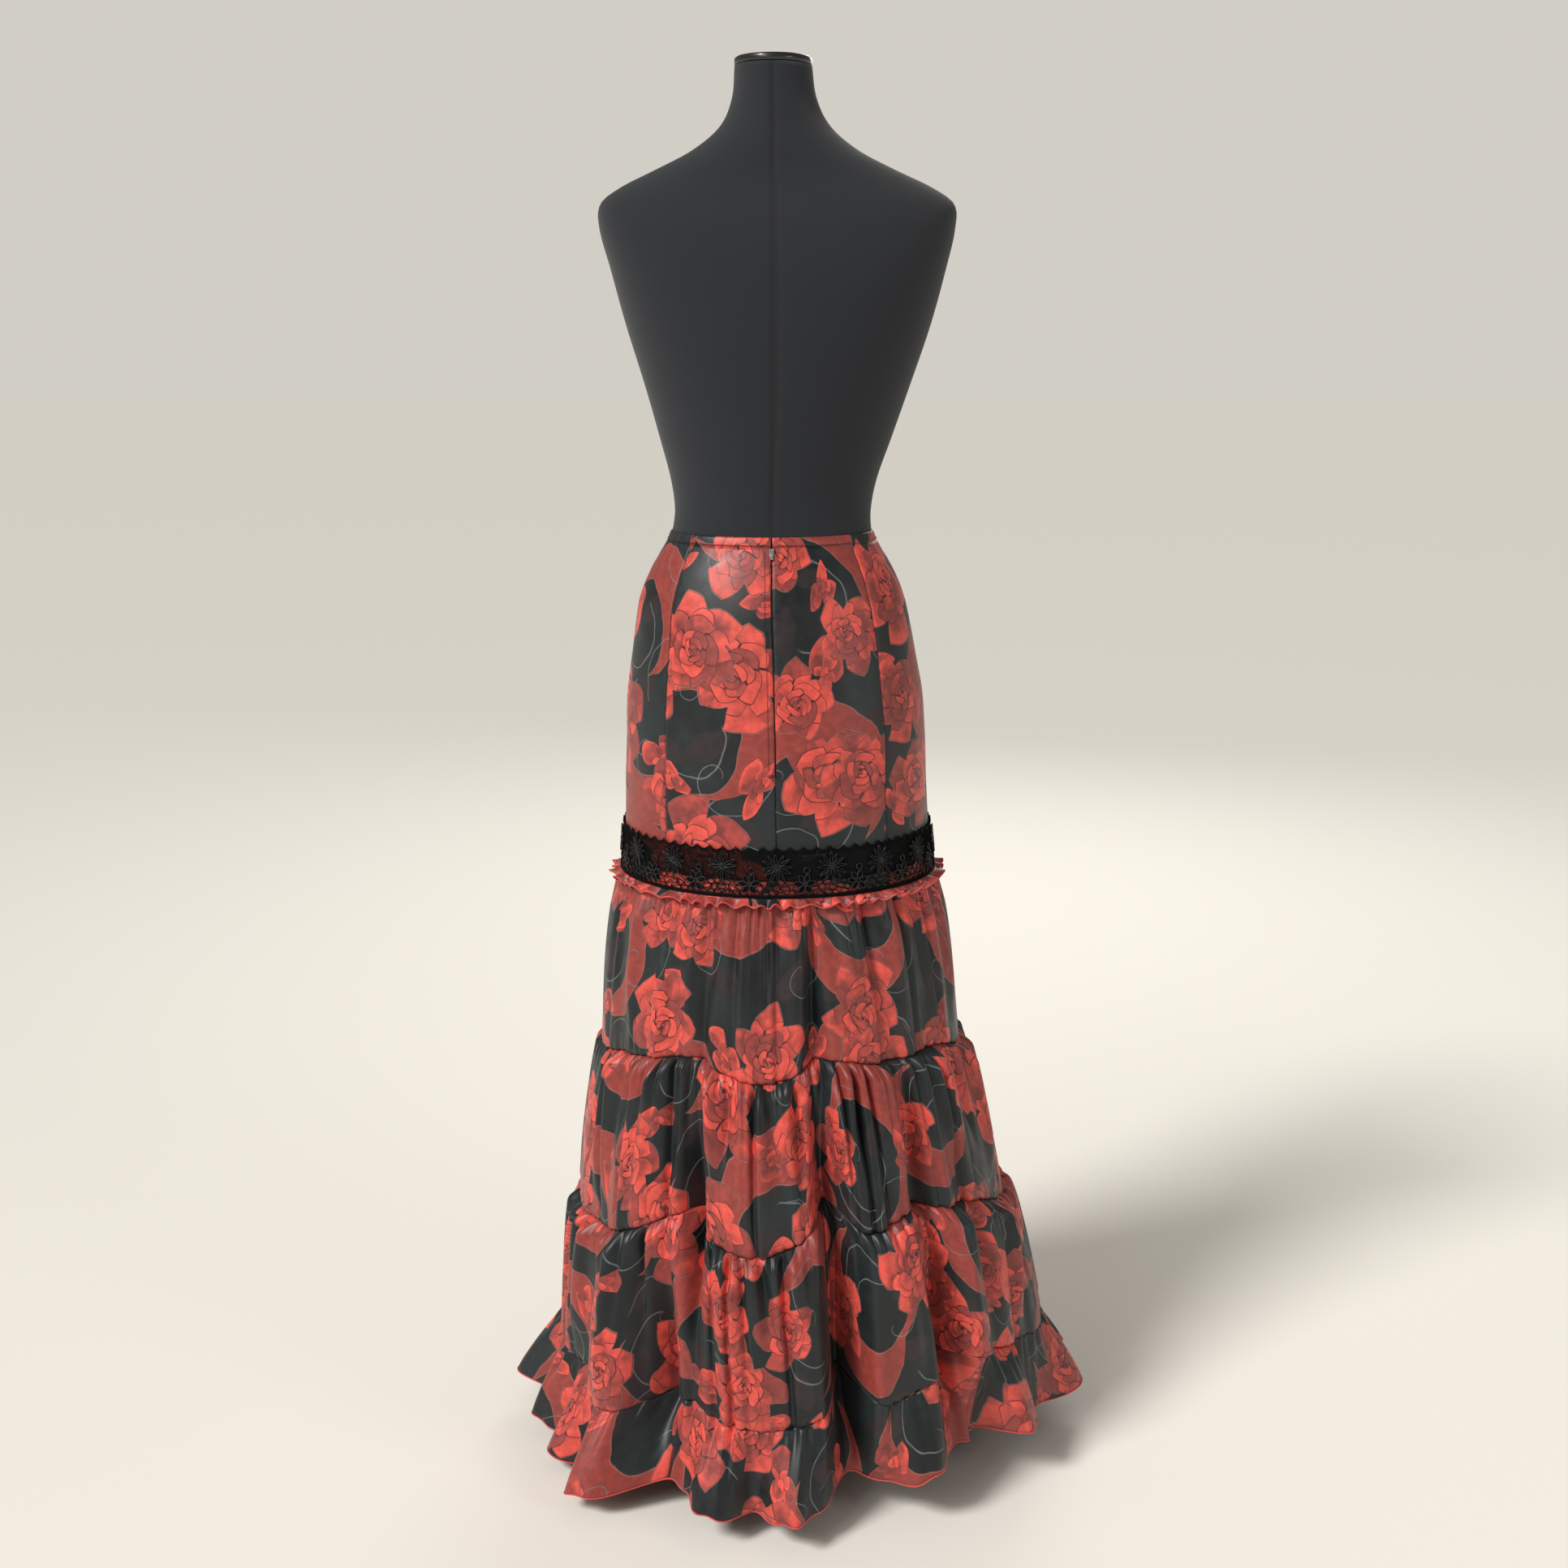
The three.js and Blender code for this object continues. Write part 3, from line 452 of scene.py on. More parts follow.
last_rise = maths(ring, "MULTIPLY", given["Notch"], ramp(ring, own[0], 0, 1, 1.15, 0.45))
rise = ramp(ring, petal, 0.0, first, 0.0, first_rise, "LINEAR")
change = ramp(ring, petal, first, last, 0.0, maths(ring, "SUBTRACT", last_rise, first_rise), "LINEAR")
fall = ramp(ring, petal, last, 1.0, 0.0, last_rise, "LINEAR")
outline = maths(ring, "SUBTRACT", maths(ring, "ADD", rise, change), fall)
outline = maths(ring, "ADD", outline, maths(ring, "SUBTRACT", 1.0, given["Notch"]))
inward = maths(ring, "MULTIPLY", given["Radius"], -1.0)
gap = maths(ring, "MULTIPLY_ADD", outline, given["Reach"], inward)
facet = maths(ring, "MULTIPLY_ADD", gap, 0.7, petal)
facet = maths(ring, "SUBTRACT", facet, ramp(ring, own[1], 0, 1, 0.45, 0.8))
turned_over = ramp(ring, facet, -0.03, 0.03)
tone = maths(ring, "MULTIPLY_ADD", turned_over, -0.15, maths(ring, "MULTIPLY", own[2], 0.62))
tone = maths(ring, "MULTIPLY_ADD", given["Wash"], 1.0, tone)
flat = mixed(ring, ramp(ring, tone, 0.5, 1.0), BRICK, BRIGHT)
dusk = product(ring, ramp(ring, gap, 0.04, 0.38), ramp(ring, given["Wash"], 0.28, 0.64, 0.8, 0.2))
shaded = mixed(ring, dusk, flat, DUSK)
join = maths(ring, "MINIMUM", petal, maths(ring, "SUBTRACT", 1.0, petal))
join_width = maths(ring, "MULTIPLY", given["Petals"], 0.0035)
join_width = maths(ring, "DIVIDE", join_width, maths(ring, "MAXIMUM", given["Radius"], 0.08))
side_line = ramp(ring, join, maths(ring, "MULTIPLY", join_width, 1.6), join_width)
rim_line = ramp(ring, maths(ring, "ABSOLUTE", gap), 0.026, 0.012)
stroke = ramp(ring, given["Wash"], 0.25, 0.55, 0.45, 1.0)
line = product(ring, maths(ring, "MAXIMUM", rim_line, side_line), stroke)
connect(ring, mixed(ring, line, shaded, OUTLINE), out.inputs["Colour"])
connect(ring, ramp(ring, gap, -0.016, 0.016), out.inputs["Inside"])

# Scatters motifs: each cell of cloth has one, with its own place, turn and size. Local is the
# place on the motif, with its rim about 1 from its middle.
scatter_inputs = {"Vector": "Vector", "Cell": "Float", "Size": "Float", "Offset": "Vector"}
scatter_outputs = {"Local": "Vector", "Seed": "Float"}
scatter, given, out = new_group("scatter", scatter_inputs, scatter_outputs)
jumped = vectors(scatter, "ADD", given["Vector"], given["Offset"])
scale = maths(scatter, "DIVIDE", 1.0, given["Cell"])
cell_inputs = {"Vector": jumped, "Scale": scale, "Randomness": 0.62}
cells = node(scatter, "TexVoronoi", cell_inputs, voronoi_dimensions="2D", feature="F1").outputs
draw = node(scatter, "SeparateColor", {0: cells["Color"]}).outputs
local = vectors(scatter, "SUBTRACT", jumped, cells["Position"])
turn = {"Vector": local, "Angle": maths(scatter, "MULTIPLY", draw[0], 2 * math.pi)}
local = node(scatter, "VectorRotate", turn, rotation_type="Z_AXIS").outputs[0]
size = maths(scatter, "MULTIPLY", given["Size"], ramp(scatter, draw[1], 0.0, 1.0, 0.86, 1.12))
connect(scatter, scaled(scatter, local, maths(scatter, "DIVIDE", 1.0, size)), out.inputs["Local"])
connect(scatter, draw[2], out.inputs["Seed"])

ROSE_RINGS = (
    # petals, reach, notch, swirl, part of a turn that it is moved by, how far its middle is off
    (5, 1.04, 0.36, 0.3, 0.0, 0.0),
    (5, 0.8, 0.3, 0.5, 0.37, 0.03),
    (4, 0.6, 0.26, 0.9, 0.71, 0.07),
    (4, 0.42, 0.24, 1.3, 0.17, 0.1),
    (3, 0.27, 0.22, 2.4, 0.5, 0.12),
    (2, 0.13, 0.2, 5.0, 0.8, 0.13),
)
BUD_RINGS = (
    (3, 1.25, 0.6, 0.0, 0.25, 0.0),
    (3, 0.85, 0.5, 0.3, 0.6, 0.1),
    (2, 0.45, 0.4, 0.8, 0.1, 0.2),
)


def petals(tree, local, seed, wash, rings):
    """Rings of petals laid over each other, from the outer one in. Gives their colour and mask."""
    colour, mask = None, None
    for count, reach, notch, swirl, moved, off in rings:
        middle = vectors(tree, "SUBTRACT", local, (off, off * 0.6, 0))
        parts = node(tree, "SeparateXYZ", {0: middle}).outputs
        radius = vectors(tree, "LENGTH", middle, result="Value")
        turn = maths(tree, "DIVIDE", maths(tree, "ARCTAN2", parts[1], parts[0]), 2 * math.pi)
        ring_seed = maths(tree, "MULTIPLY_ADD", seed, 3.0, moved)
        settings = {"Radius": radius, "Turn": turn, "Petals": count, "Reach": reach, "Notch": notch}
        made = use_group(tree, ring, {**settings, "Swirl": swirl, "Seed": ring_seed, "Wash": wash})
        if colour is None:
            colour, mask = made["Colour"], made["Inside"]
        else:
            colour = mixed(tree, made["Inside"], colour, made["Colour"])
    return colour, mask


def line_at(tree, distance, radius):
    """A thin line where a distance from some middle is this radius."""
    away = maths(tree, "ABSOLUTE", maths(tree, "SUBTRACT", distance, radius))
    return ramp(tree, away, 0.014, 0.006)


def disc(tree, local, middle, radius, soft=0.03):
    """1 inside a circle about a middle, 0 outside it, and the distance from its middle."""
    away = vectors(tree, "DISTANCE", local, middle, result="Value")
    return ramp(tree, away, radius + soft, radius - soft), away


rose_inputs = {"Local": "Vector", "Seed": "Float", "Wash": "Float"}
rose, given, out = new_group("rose", rose_inputs, {"Colour": "Color", "Inside": "Float"})
colour, mask = petals(rose, given["Local"], given["Seed"], given["Wash"], ROSE_RINGS)
heart, _ = disc(rose, given["Local"], (0.17, 0.11, 0), 0.045, 0.02)
connect(rose, mixed(rose, heart, colour, OUTLINE), out.inputs["Colour"])
connect(rose, mask, out.inputs["Inside"])

# The whole print. From the ground up: brown leaves, ribbons, tendrils, buds and two scatters of
# roses.
design, given, out = new_group("rose_print", {"Vector": "Vector"}, {"Colour": "Color"})
wobble = node(design, "TexNoise", {"Vector": given["Vector"], "Scale": 24.0, "Detail": 1.5})
wobble = vectors(design, "SUBTRACT", wobble.outputs["Color"], (0.5, 0.5, 0.5))
where = vectors(design, "ADD", given["Vector"], scaled(design, wobble, 0.014))


def motifs_of(cell, size, offset):
    """A scatter of motifs in cells of this width, each of about this size, both in metres."""
    spread = {"Vector": where, "Cell": cell, "Size": size, "Offset": (*offset, 0)}
    return use_group(design, scatter, spread)


wash = noise(design, where, 38.0, 3.0)
cloud = noise(design, where, 9.0, 2.0)
colour = mixed(design, ramp(design, cloud, 0.4, 0.65), GROUND, srgb(24, 35, 38))
leaf = motifs_of(0.085, 0.036, (3.7, 1.2))
leaf_a, _ = disc(design, leaf["Local"], (0.62, 0, 0), 1.0)
leaf_b, _ = disc(design, leaf["Local"], (-0.62, 0, 0), 1.0)
colour = mixed(design, product(design, leaf_a, leaf_b, 0.85), colour, BROWN)

RIBBON_OUTER, RIBBON_INNER, RIBBON_INNER_PLACE, STEM = 0.97, 0.74, (0.36, 0.1, 0), 0.52
ribbon = motifs_of(0.2, 0.09, (9.2, 4.4))
ribbon_a, off_a = disc(design, ribbon["Local"], (0, 0, 0), RIBBON_OUTER, 0.012)
ribbon_b, off_b = disc(design, ribbon["Local"], RIBBON_INNER_PLACE, RIBBON_INNER, 0.012)
band = product(design, ribbon_a, maths(design, "SUBTRACT", 1.0, ribbon_b))
band_colour = mixed(design, noise(design, where, 26.0, 3.0), srgb(128, 52, 47), srgb(166, 64, 56))
colour = mixed(design, band, colour, band_colour)
rims = maths(design, "MAXIMUM", line_at(design, off_a, RIBBON_OUTER), line_at(design, off_b, RIBBON_INNER))
rims = product(design, rims, band, 0.9)
colour = mixed(design, rims, colour, EDGING)

curl = motifs_of(0.135, 0.05, (17.4, 6.1))
curl_parts = node(design, "SeparateXYZ", {0: curl["Local"]}).outputs
curl_radius = vectors(design, "LENGTH", curl["Local"], result="Value")
curl_turn = maths(design, "DIVIDE", maths(design, "ARCTAN2", curl_parts[1], curl_parts[0]), 2 * math.pi)
winding = maths(design, "SUBTRACT", maths(design, "POWER", curl_radius, 0.6), curl_turn)
winding = maths(design, "SUBTRACT", maths(design, "FRACT", winding), 0.5)
winding = maths(design, "ABSOLUTE", winding)
thin = maths(design, "POWER", maths(design, "MAXIMUM", curl_radius, 0.1), 0.4)
thin = maths(design, "DIVIDE", 0.0066, thin)
spiral = maths(design, "LESS_THAN", winding, thin)
spiral = product(design, spiral, ramp(design, curl_radius, 1.28, 1.2), 0.75)
colour = mixed(design, spiral, colour, TENDRIL)
stem_end = ramp(design, node(design, "SeparateXYZ", {0: ribbon["Local"]}).outputs[1], 0.0, 0.1)
stem = product(design, line_at(design, off_b, STEM), stem_end, 0.7)
colour = mixed(design, stem, colour, TENDRIL)

bud = motifs_of(0.118, 0.027, (28.1, 2.9))
slim = vectors(design, "MULTIPLY", bud["Local"], (1.75, 1.0, 1.0))
bud_colour, bud_mask = petals(design, slim, bud["Seed"], wash, BUD_RINGS)
colour = mixed(design, bud_mask, colour, bud_colour)

ROSES = (
    # offset on the cloth, width of a cell, size, all in metres
    (41.3, 0.156, 0.0525),
    (57.9, 0.216, 0.05),
)
for offset, cell, size in ROSES:
    motif = motifs_of(cell, size, (offset, offset / 2))
    bloom_inputs = {"Local": motif["Local"], "Seed": motif["Seed"], "Wash": wash}
    bloom = use_group(design, rose, bloom_inputs)
    colour = mixed(design, bloom["Inside"], colour, bloom["Colour"])
    outside = maths(design, "SUBTRACT", 1.0, bloom["Inside"])
    pale_line = product(design, bloom["Inside"], outside, 3.2)  # where the mask is part way
    colour = mixed(design, pale_line, colour, EDGING)

fine_wash = ramp(design, noise(design, where, 120.0, 3.0), 0.3, 0.75, 0.82, 1.1)
connect(design, scaled(design, colour, fine_wash), out.inputs["Colour"])

# Satin's threads: long floats along the cloth, crossed by finer ones.
thread_outputs = {"Height": "Float", "Rough": "Float"}
threads, given, out = new_group("satin_threads", {"Vector": "Vector"}, thread_outputs)
stretched = vectors(threads, "MULTIPLY", given["Vector"], (1.0, 0.18, 1.0))
slubs = noise(threads, given["Vector"], 60.0, 3.0)
connect(threads, noise(threads, stretched, 2600.0, 1.0), out.inputs["Height"])
connect(threads, ramp(threads, slubs, 0.3, 0.7, 0.4, 0.52), out.inputs["Rough"])

sheen = {"Specular_IOR_Level": 0.5, "Sheen_Weight": 0.06, "Sheen_Roughness": 0.5}
satin, tree, shader = new_material("printed_satin", **sheen)
cloth_uv = node(tree, "UVMap", uv_map="cloth").outputs[0]
printed = use_group(tree, design, {"Vector": cloth_uv})
fabric = use_group(tree, threads, {"Vector": cloth_uv})
connect(tree, printed["Colour"], shader.inputs["Base Color"])
connect(tree, fabric["Rough"], shader.inputs["Roughness"])
bump(tree, shader, fabric["Height"], 0.00012, 0.35)


def cloth_map(points, offset, full=1.0, row_share=0.6):
    """Cloth coordinates in metres: length along the row at row_share times the fullness that small
    gathers take up, and length down the middle."""
    rows, columns = points.shape[:2]
    row = points[int(row_share * (rows - 1))]
    across = full * np.concatenate([[0], np.cumsum(np.linalg.norm(np.diff(row, axis=0), axis=1))])
    column = points[:, columns // 2]
    down = np.concatenate([[0], np.cumsum(np.linalg.norm(np.diff(column, axis=0), axis=1))])
    grid = np.stack(np.broadcast_arrays(across[None, :] + offset[0], offset[1] - down[:, None]), -1)
    return grid * MM, (across[-1] * MM, down[-1] * MM)


SATIN = (satin, "printed_satin", CLOTH)


def cloth_piece(name, points, offset, *nodes, made_of=SATIN, full=1.0, held="hung", uv=None, **words):
    """A panel of cloth: a thin shell with its own cut and print. It is made of a material and a thickness;
    the slot in made_of is not used."""
    own_uv, flat = cloth_map(points, offset, full)
    uv = own_uv if uv is None else uv
    material, slot, thick = made_of
    piece = add_piece(name, surface_mesh(name, points, uv), material, slot, *nodes)
    shell = piece.modifiers.new("thickness", "SOLIDIFY")
    shell.thickness = thick * MM
    shell.offset = 0.0
    return piece


yoke_rows = np.array(YOKE, float)


def yoke_size(z):
    """Half width, half depth and shift of the yoke at a height: smooth curves through its table."""
    return (smooth_curve(yoke_rows[:, 0], yoke_rows[:, k], z) for k in (1, 2, 3))


def yoke_surface(angle, z, out=0.0):
    """Points on the yoke: its oval at each height, moved out by a distance."""
    wide, deep, shift = yoke_size(z)
    return place(angle, oval(wide, deep, angle) + out, z, shift)


def half_gap(width, z):
    """Half of a gap at centre back as an angle: half its width over the yoke's half depth there."""
    return np.degrees(width / 2 / smooth_curve(yoke_rows[:, 0], yoke_rows[:, 2], z))


def ripple(x, seed):
    """An even-looking but uneven wave of x, from -1 to 1: three sines of unrelated pitch."""
    return 0.5 * np.sin(x + seed) + 0.3 * np.sin(1.71 * x + 2.3 * seed) + 0.2 * np.sin(2.93 * x + 4.1 * seed)


gore_top = WAIST_TOP - WAISTBAND_HEIGHT - SEAM
gore_bottom = YOKE_BOTTOM + SEAM / 2
gore_tops = []
for number, (name, waist, bottom) in enumerate(GORES):
    z = np.linspace(gore_top, gore_bottom, GORE_ROWS)[:, None]
    v = ((gore_top - z) / (gore_top - gore_bottom)) ** GORE_SPREAD
    slit = np.where(z > ZIP_END, ZIP_SLIT, SEAM)
    left, right = (waist[k] + (bottom[k] - waist[k]) * v for k in (0, 1))
    left = left + half_gap(slit if waist[0] == 0 else SEAM, z)
    right = right - half_gap(slit if waist[1] == 0 else SEAM, z)
    share = np.linspace(0, 1, int((bottom[1] - bottom[0]) * GORE_COLUMNS))[None, :]
    angle = left + (right - left) * share
    from_edge = np.minimum(share, 1 - share) * (bottom[1] - bottom[0]) * YOKE_DEGREE
    pucker = EDGE_PUCKER * np.exp(-from_edge / EDGE_PUCKER_REACH) * ripple(z / 2.6, number)
    sink = EDGE_SINK * np.exp(-from_edge / EDGE_SINK_REACH)
    # over the hips the cloth lies a little unevenly
    lie = 0.5 * ripple(z / 34 + angle / 9, number + 2) * np.exp(-(((z - 900) / 130) ** 2))
    gore_points = yoke_surface(angle, z, pucker - sink + lie)
    gore_cut = (number * GORE_CUT[0], number * GORE_CUT[1])
    cloth_piece(name + "_gore", gore_points, gore_cut, name, rests_on=["torso_cover"])
    gore_tops.append((np.mod(angle[0] + 0.001, 360), cloth_map(gore_points, gore_cut)[0][0]))

BAND = (
    # below its top, and how far it stands out: from the edge that is folded over to the inside
    (0.6, -1.4),
    (0.0, -0.3),
    (1.0, 0.0),
    (4.0, 0.2),
    (7.0, 0.15),
    (WAISTBAND_HEIGHT, 0.0),
)
band_rows = np.array(BAND)
band_z, band_out = WAIST_TOP - band_rows[:, :1], band_rows[:, 1:]
gore_tops.sort(key=lambda top: top[0][0])
band_angle = np.concatenate([angles for angles, _ in gore_tops])[None, :]
band_points = yoke_surface(band_angle, band_z, band_out + 0.12 * ripple(band_angle * 3, 1))
band_u = np.concatenate([places[:, 0] for _, places in gore_tops])[None, :]
band_v = np.concatenate([places[:, 1] for _, places in gore_tops])[None, :]
band_v = band_v + (band_z - gore_top) * MM
band_uv = np.stack(np.broadcast_arrays(band_u, band_v), -1)
cloth_piece("waistband_strip", band_points, (0, 0), "waistband", uv=band_uv, rests_on=["torso_cover"])

# ---------------------------------------------------------------------------------------------
# Zip: a nylon coil on black tape behind the centre-back slit, under a lap that is topstitched
# down its left side and closed by a bartack. The nickel slider and pull are the frame's own.

TAPE_WIDE, TAPE_THICK, TAPE_OUT, TAPE_TOP, TAPE_BOTTOM = 20.0, 0.6, -1.45, 1046.0, 803.0
COIL_PITCH, COIL_OUT, COIL_HALF, COIL_ROUND = 1.25, -0.75, 1.5, 0.42
STITCH_LONG, STITCH_PITCH, STITCH_ROUND = 2.4, 3.0, 0.24
LAP_WIDE = 7.0
YOKE_TIP = 0.06  # rise of the yoke's outward direction


def quad_mesh(name, points, quads):
    """A smooth mesh of points in millimetres and four-cornered faces."""
    mesh = bpy.data.meshes.new(name)
    mesh.from_pydata((points * MM).tolist(), [], quads.tolist())
    mesh.polygons.foreach_set("use_smooth", np.ones(len(quads), bool))
    mesh.update(calc_edges=True)
    return mesh


def yoke_outward(angle, z):
    """The direction out of the yoke: across its oval, tipped by how it widens downwards."""
    wide, deep, _ = yoke_size(z)
    a = np.radians(angle)
    flat = np.stack(np.broadcast_arrays(np.sin(a) / wide**2, -np.cos(a) / deep**2, 0.0), -1)
    flat = flat / np.linalg.norm(flat, axis=-1, keepdims=True)
    return flat + np.array([0, 0, YOKE_TIP])


def cords(paths, outward, across, out, sides=4, closed=False):
    """Cords along paths (cord, point, xyz): an oval across wide and out high, both half sizes."""
    ahead = np.roll(paths, -1, 1) - np.roll(paths, 1, 1)
    if not closed:
        ahead[:, 0] = paths[:, 1] - paths[:, 0]
        ahead[:, -1] = paths[:, -1] - paths[:, -2]
    ahead = ahead / np.linalg.norm(ahead, axis=-1, keepdims=True)
    side = np.cross(ahead, outward)
    side = side / np.linalg.norm(side, axis=-1, keepdims=True)
    up = np.cross(side, ahead)
    turn = np.arange(sides) * 2 * np.pi / sides
    across = np.broadcast_to(across, paths.shape[:2])[:, :, None, None]
    out = np.broadcast_to(out, paths.shape[:2])[:, :, None, None]
    along_side = across * np.cos(turn)[:, None] * side[:, :, None]
    along_up = out * np.sin(turn)[:, None] * up[:, :, None]
    rings = paths[:, :, None] + along_side + along_up
    count, steps = paths.shape[:2]
    index = np.arange(count * steps * sides).reshape(count, steps, sides)
    this, following = (index, np.roll(index, -1, 1)) if closed else (index[:, :-1], index[:, 1:])
    quads = np.stack([this, np.roll(this, -1, 2), np.roll(following, -1, 2), following], -1).reshape(-1, 4)
    if not closed:
        fans = np.array([(0, k + 1, k + 2, k + 3) for k in range(0, sides - 2, 2)]) % sides
        ends = np.concatenate([index[:, 0][:, fans[:, ::-1]], index[:, -1][:, fans]]).reshape(-1, 4)
        quads = np.concatenate([quads, ends])
    return rings.reshape(-1, 3), quads


def joined_cords(name, groups):
    """One mesh of several groups of cords."""
    starts = np.cumsum([0] + [len(points) for points, _ in groups[:-1]])
    quads = np.concatenate([faces + start for (_, faces), start in zip(groups, starts)])
    return quad_mesh(name, np.concatenate([points for points, _ in groups]), quads)


def stitches(angles, heights, out):
    """A row of stitches: a short thread at each place that heads for the next one."""
    spots = yoke_surface(angles, heights, out)
    step = spots[1:] - spots[:-1]
    step = step / np.linalg.norm(step, axis=-1, keepdims=True) * STITCH_LONG / 2
    middle = (spots[1:] + spots[:-1]) / 2
    outward = yoke_outward(angles[:-1], heights[:-1])[:, None]
    dip = -0.35 * outward[:, 0]
    paths = np.stack([middle - step + dip, middle - step * 0.6, middle + step * 0.6, middle + step + dip], 1)
    return cords(paths, outward, STITCH_ROUND, STITCH_ROUND)


tape_material, tree, shader = new_material("zip_tape", Roughness=0.85)
coords = node(tree, "TexCoord").outputs["Object"]
weave = node(tree, "TexWave", {"Vector": coords, "Scale": 900.0}, bands_direction="Z").outputs["Fac"]
connect(tree, mixed(tree, weave, srgb(9, 10, 13), srgb(24, 26, 30)), shader.inputs["Base Color"])
bump(tree, shader, weave, 0.0002, 0.5)
tape_z = np.linspace(TAPE_TOP, TAPE_BOTTOM, 60)[:, None]
tape_angle = half_gap(TAPE_WIDE, tape_z) * np.linspace(-1, 1, 9)[None, :]
tape_points = yoke_surface(tape_angle, tape_z, TAPE_OUT)
tape = (tape_material, "zip_tape", TAPE_THICK)
tape_rest = ["back_left_gore"]
cloth_piece("zip_tape_strip", tape_points, (0, 0), "zip_tape", made_of=tape, rests_on=tape_rest)

SLIDER_LOW = 1037.0
coil_z = np.arange(ZIP_END, SLIDER_LOW, COIL_PITCH)
coil_x = half_gap(2 * COIL_HALF, coil_z)[:, None] * np.array([[-1.0, -0.4, 0.4, 1.0]])
coil_paths = yoke_surface(coil_x, coil_z[:, None], COIL_OUT + np.array([[-0.5, 0.0, 0.0, -0.5]]))
coil = cords(coil_paths, np.array([0, -1.0, 0.1]), COIL_ROUND, COIL_ROUND, 6)
add_piece("zip_coil", joined_cords("zip_coil", [coil]), tape_material, "zip_tape")

thread, tree, shader = new_material("red_thread", Roughness=0.5, Sheen_Weight=0.2)
coords = node(tree, "TexCoord").outputs["Object"]
ply = noise(tree, coords, 1400.0, 1.0)
connect(tree, mixed(tree, ply, srgb(176, 34, 38), srgb(232, 84, 78)), shader.inputs["Base Color"])
bump(tree, shader, ply, 0.0004, 0.7)
black_thread, tree, shader = new_material("black_thread", Roughness=0.55)
coords = node(tree, "TexCoord").outputs["Object"]
ply = noise(tree, coords, 1400.0, 1.0)
connect(tree, mixed(tree, ply, srgb(8, 8, 10), srgb(40, 40, 44)), shader.inputs["Base Color"])

lap_z = np.arange(TAPE_TOP - 2, ZIP_END + 4, -STITCH_PITCH)
lap_row = stitches(-half_gap(2 * LAP_WIDE, lap_z), lap_z, CLOTH / 2 + 0.9)
tack_angle = half_gap(2.0, ZIP_END) * np.linspace(-LAP_WIDE, 3, 7)
tack_heights = [np.full(7, ZIP_END + rise) for rise in (0, 1.2, 2.4)]
tack_rows = [stitches(tack_angle, height, CLOTH / 2 + 0.7) for height in tack_heights]
topstitch = joined_cords("zip_topstitch", [lap_row, *tack_rows])
add_piece("zip_topstitch", topstitch, black_thread, "printed_satin")

band_round = np.arange(4.0, 356.0, 1.72)
band_row = stitches(band_round, np.full(len(band_round), gore_top + 1.2), CLOTH / 2 + 0.6)
band_stitch = joined_cords("waistband_stitch", [band_row])
add_piece("waistband_stitch", band_stitch, black_thread, "printed_satin")

nickel, tree, shader = new_material("nickel", Metallic=1.0, Roughness=0.28)
coords = node(tree, "TexCoord").outputs["Object"]
scuffs = noise(tree, coords, 700.0, 3.0)
connect(tree, mixed(tree, scuffs, srgb(176, 176, 174), srgb(228, 227, 222)), shader.inputs["Base Color"])
connect(tree, ramp(tree, scuffs, 0.3, 0.7, 0.2, 0.38), shader.inputs["Roughness"])
for part in ("zip_slider", "zip_pull"):
    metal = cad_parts[part]
    metal.data.materials.clear()
    metal.data.materials.append(nickel)

# ---------------------------------------------------------------------------------------------
# Lace: a band of black guipure over the foot of the yoke. Cords make a fine net, daisies of
# twelve petals, looped flowers between them, eyelets below, and a scalloped upper edge.

LACE_REPEATS = 17
LACE_TOP, LACE_BOTTOM, LACE_OUT = 737.0, 682.4, 2.4
DAISY_HEIGHT, DAISY_REACH, DAISY_PETALS = 716.0, 15.5, 12
FLOWER_HEIGHT, FLOWER_REACH = 697.5, 11.5
LOOP_POINTS = 14

fine_angle = np.linspace(0, 360, 1441)
fine_spots = yoke_surface(fine_angle, DAISY_HEIGHT)
fine_run = np.concatenate([[0], np.cumsum(np.linalg.norm(np.diff(fine_spots, axis=0), axis=1))])
LACE_ROUND = fine_run[-1]
LACE_PITCH = LACE_ROUND / LACE_REPEATS


def on_lace(along, z, out=0.0):
    """Points on the lace: a length along it from centre back, a height, and how far they stand out."""
    angle = np.interp(np.mod(along, LACE_ROUND), fine_run, fine_angle)
    return yoke_surface(angle, z, LACE_OUT + out), yoke_outward(angle, z)


def lace_cords(along, z, out, across, high, sides=4, closed=False):
    """Cords of lace through places on the band."""
    paths, outward = on_lace(along, z, out)
    return cords(paths, outward, across, high, sides, closed)


def loops(middles, turn, reach, half, near):
    """Petal outlines about middles: along the petal t runs out and back, half wide where sin is 1."""
    t = np.arange(LOOP_POINTS) / LOOP_POINTS * 2 * np.pi
    length = near + (reach - near) * (0.5 - 0.5 * np.cos(t))
    width = half * np.sin(t) * (0.75 + 0.25 * np.cos(t * 0.5) ** 2)
    a = np.radians(turn)[:, None]
    along = middles[0][:, None] + length * np.cos(a) - width * np.sin(a)
    high = middles[1][:, None] + length * np.sin(a) + width * np.cos(a)
    return along, high


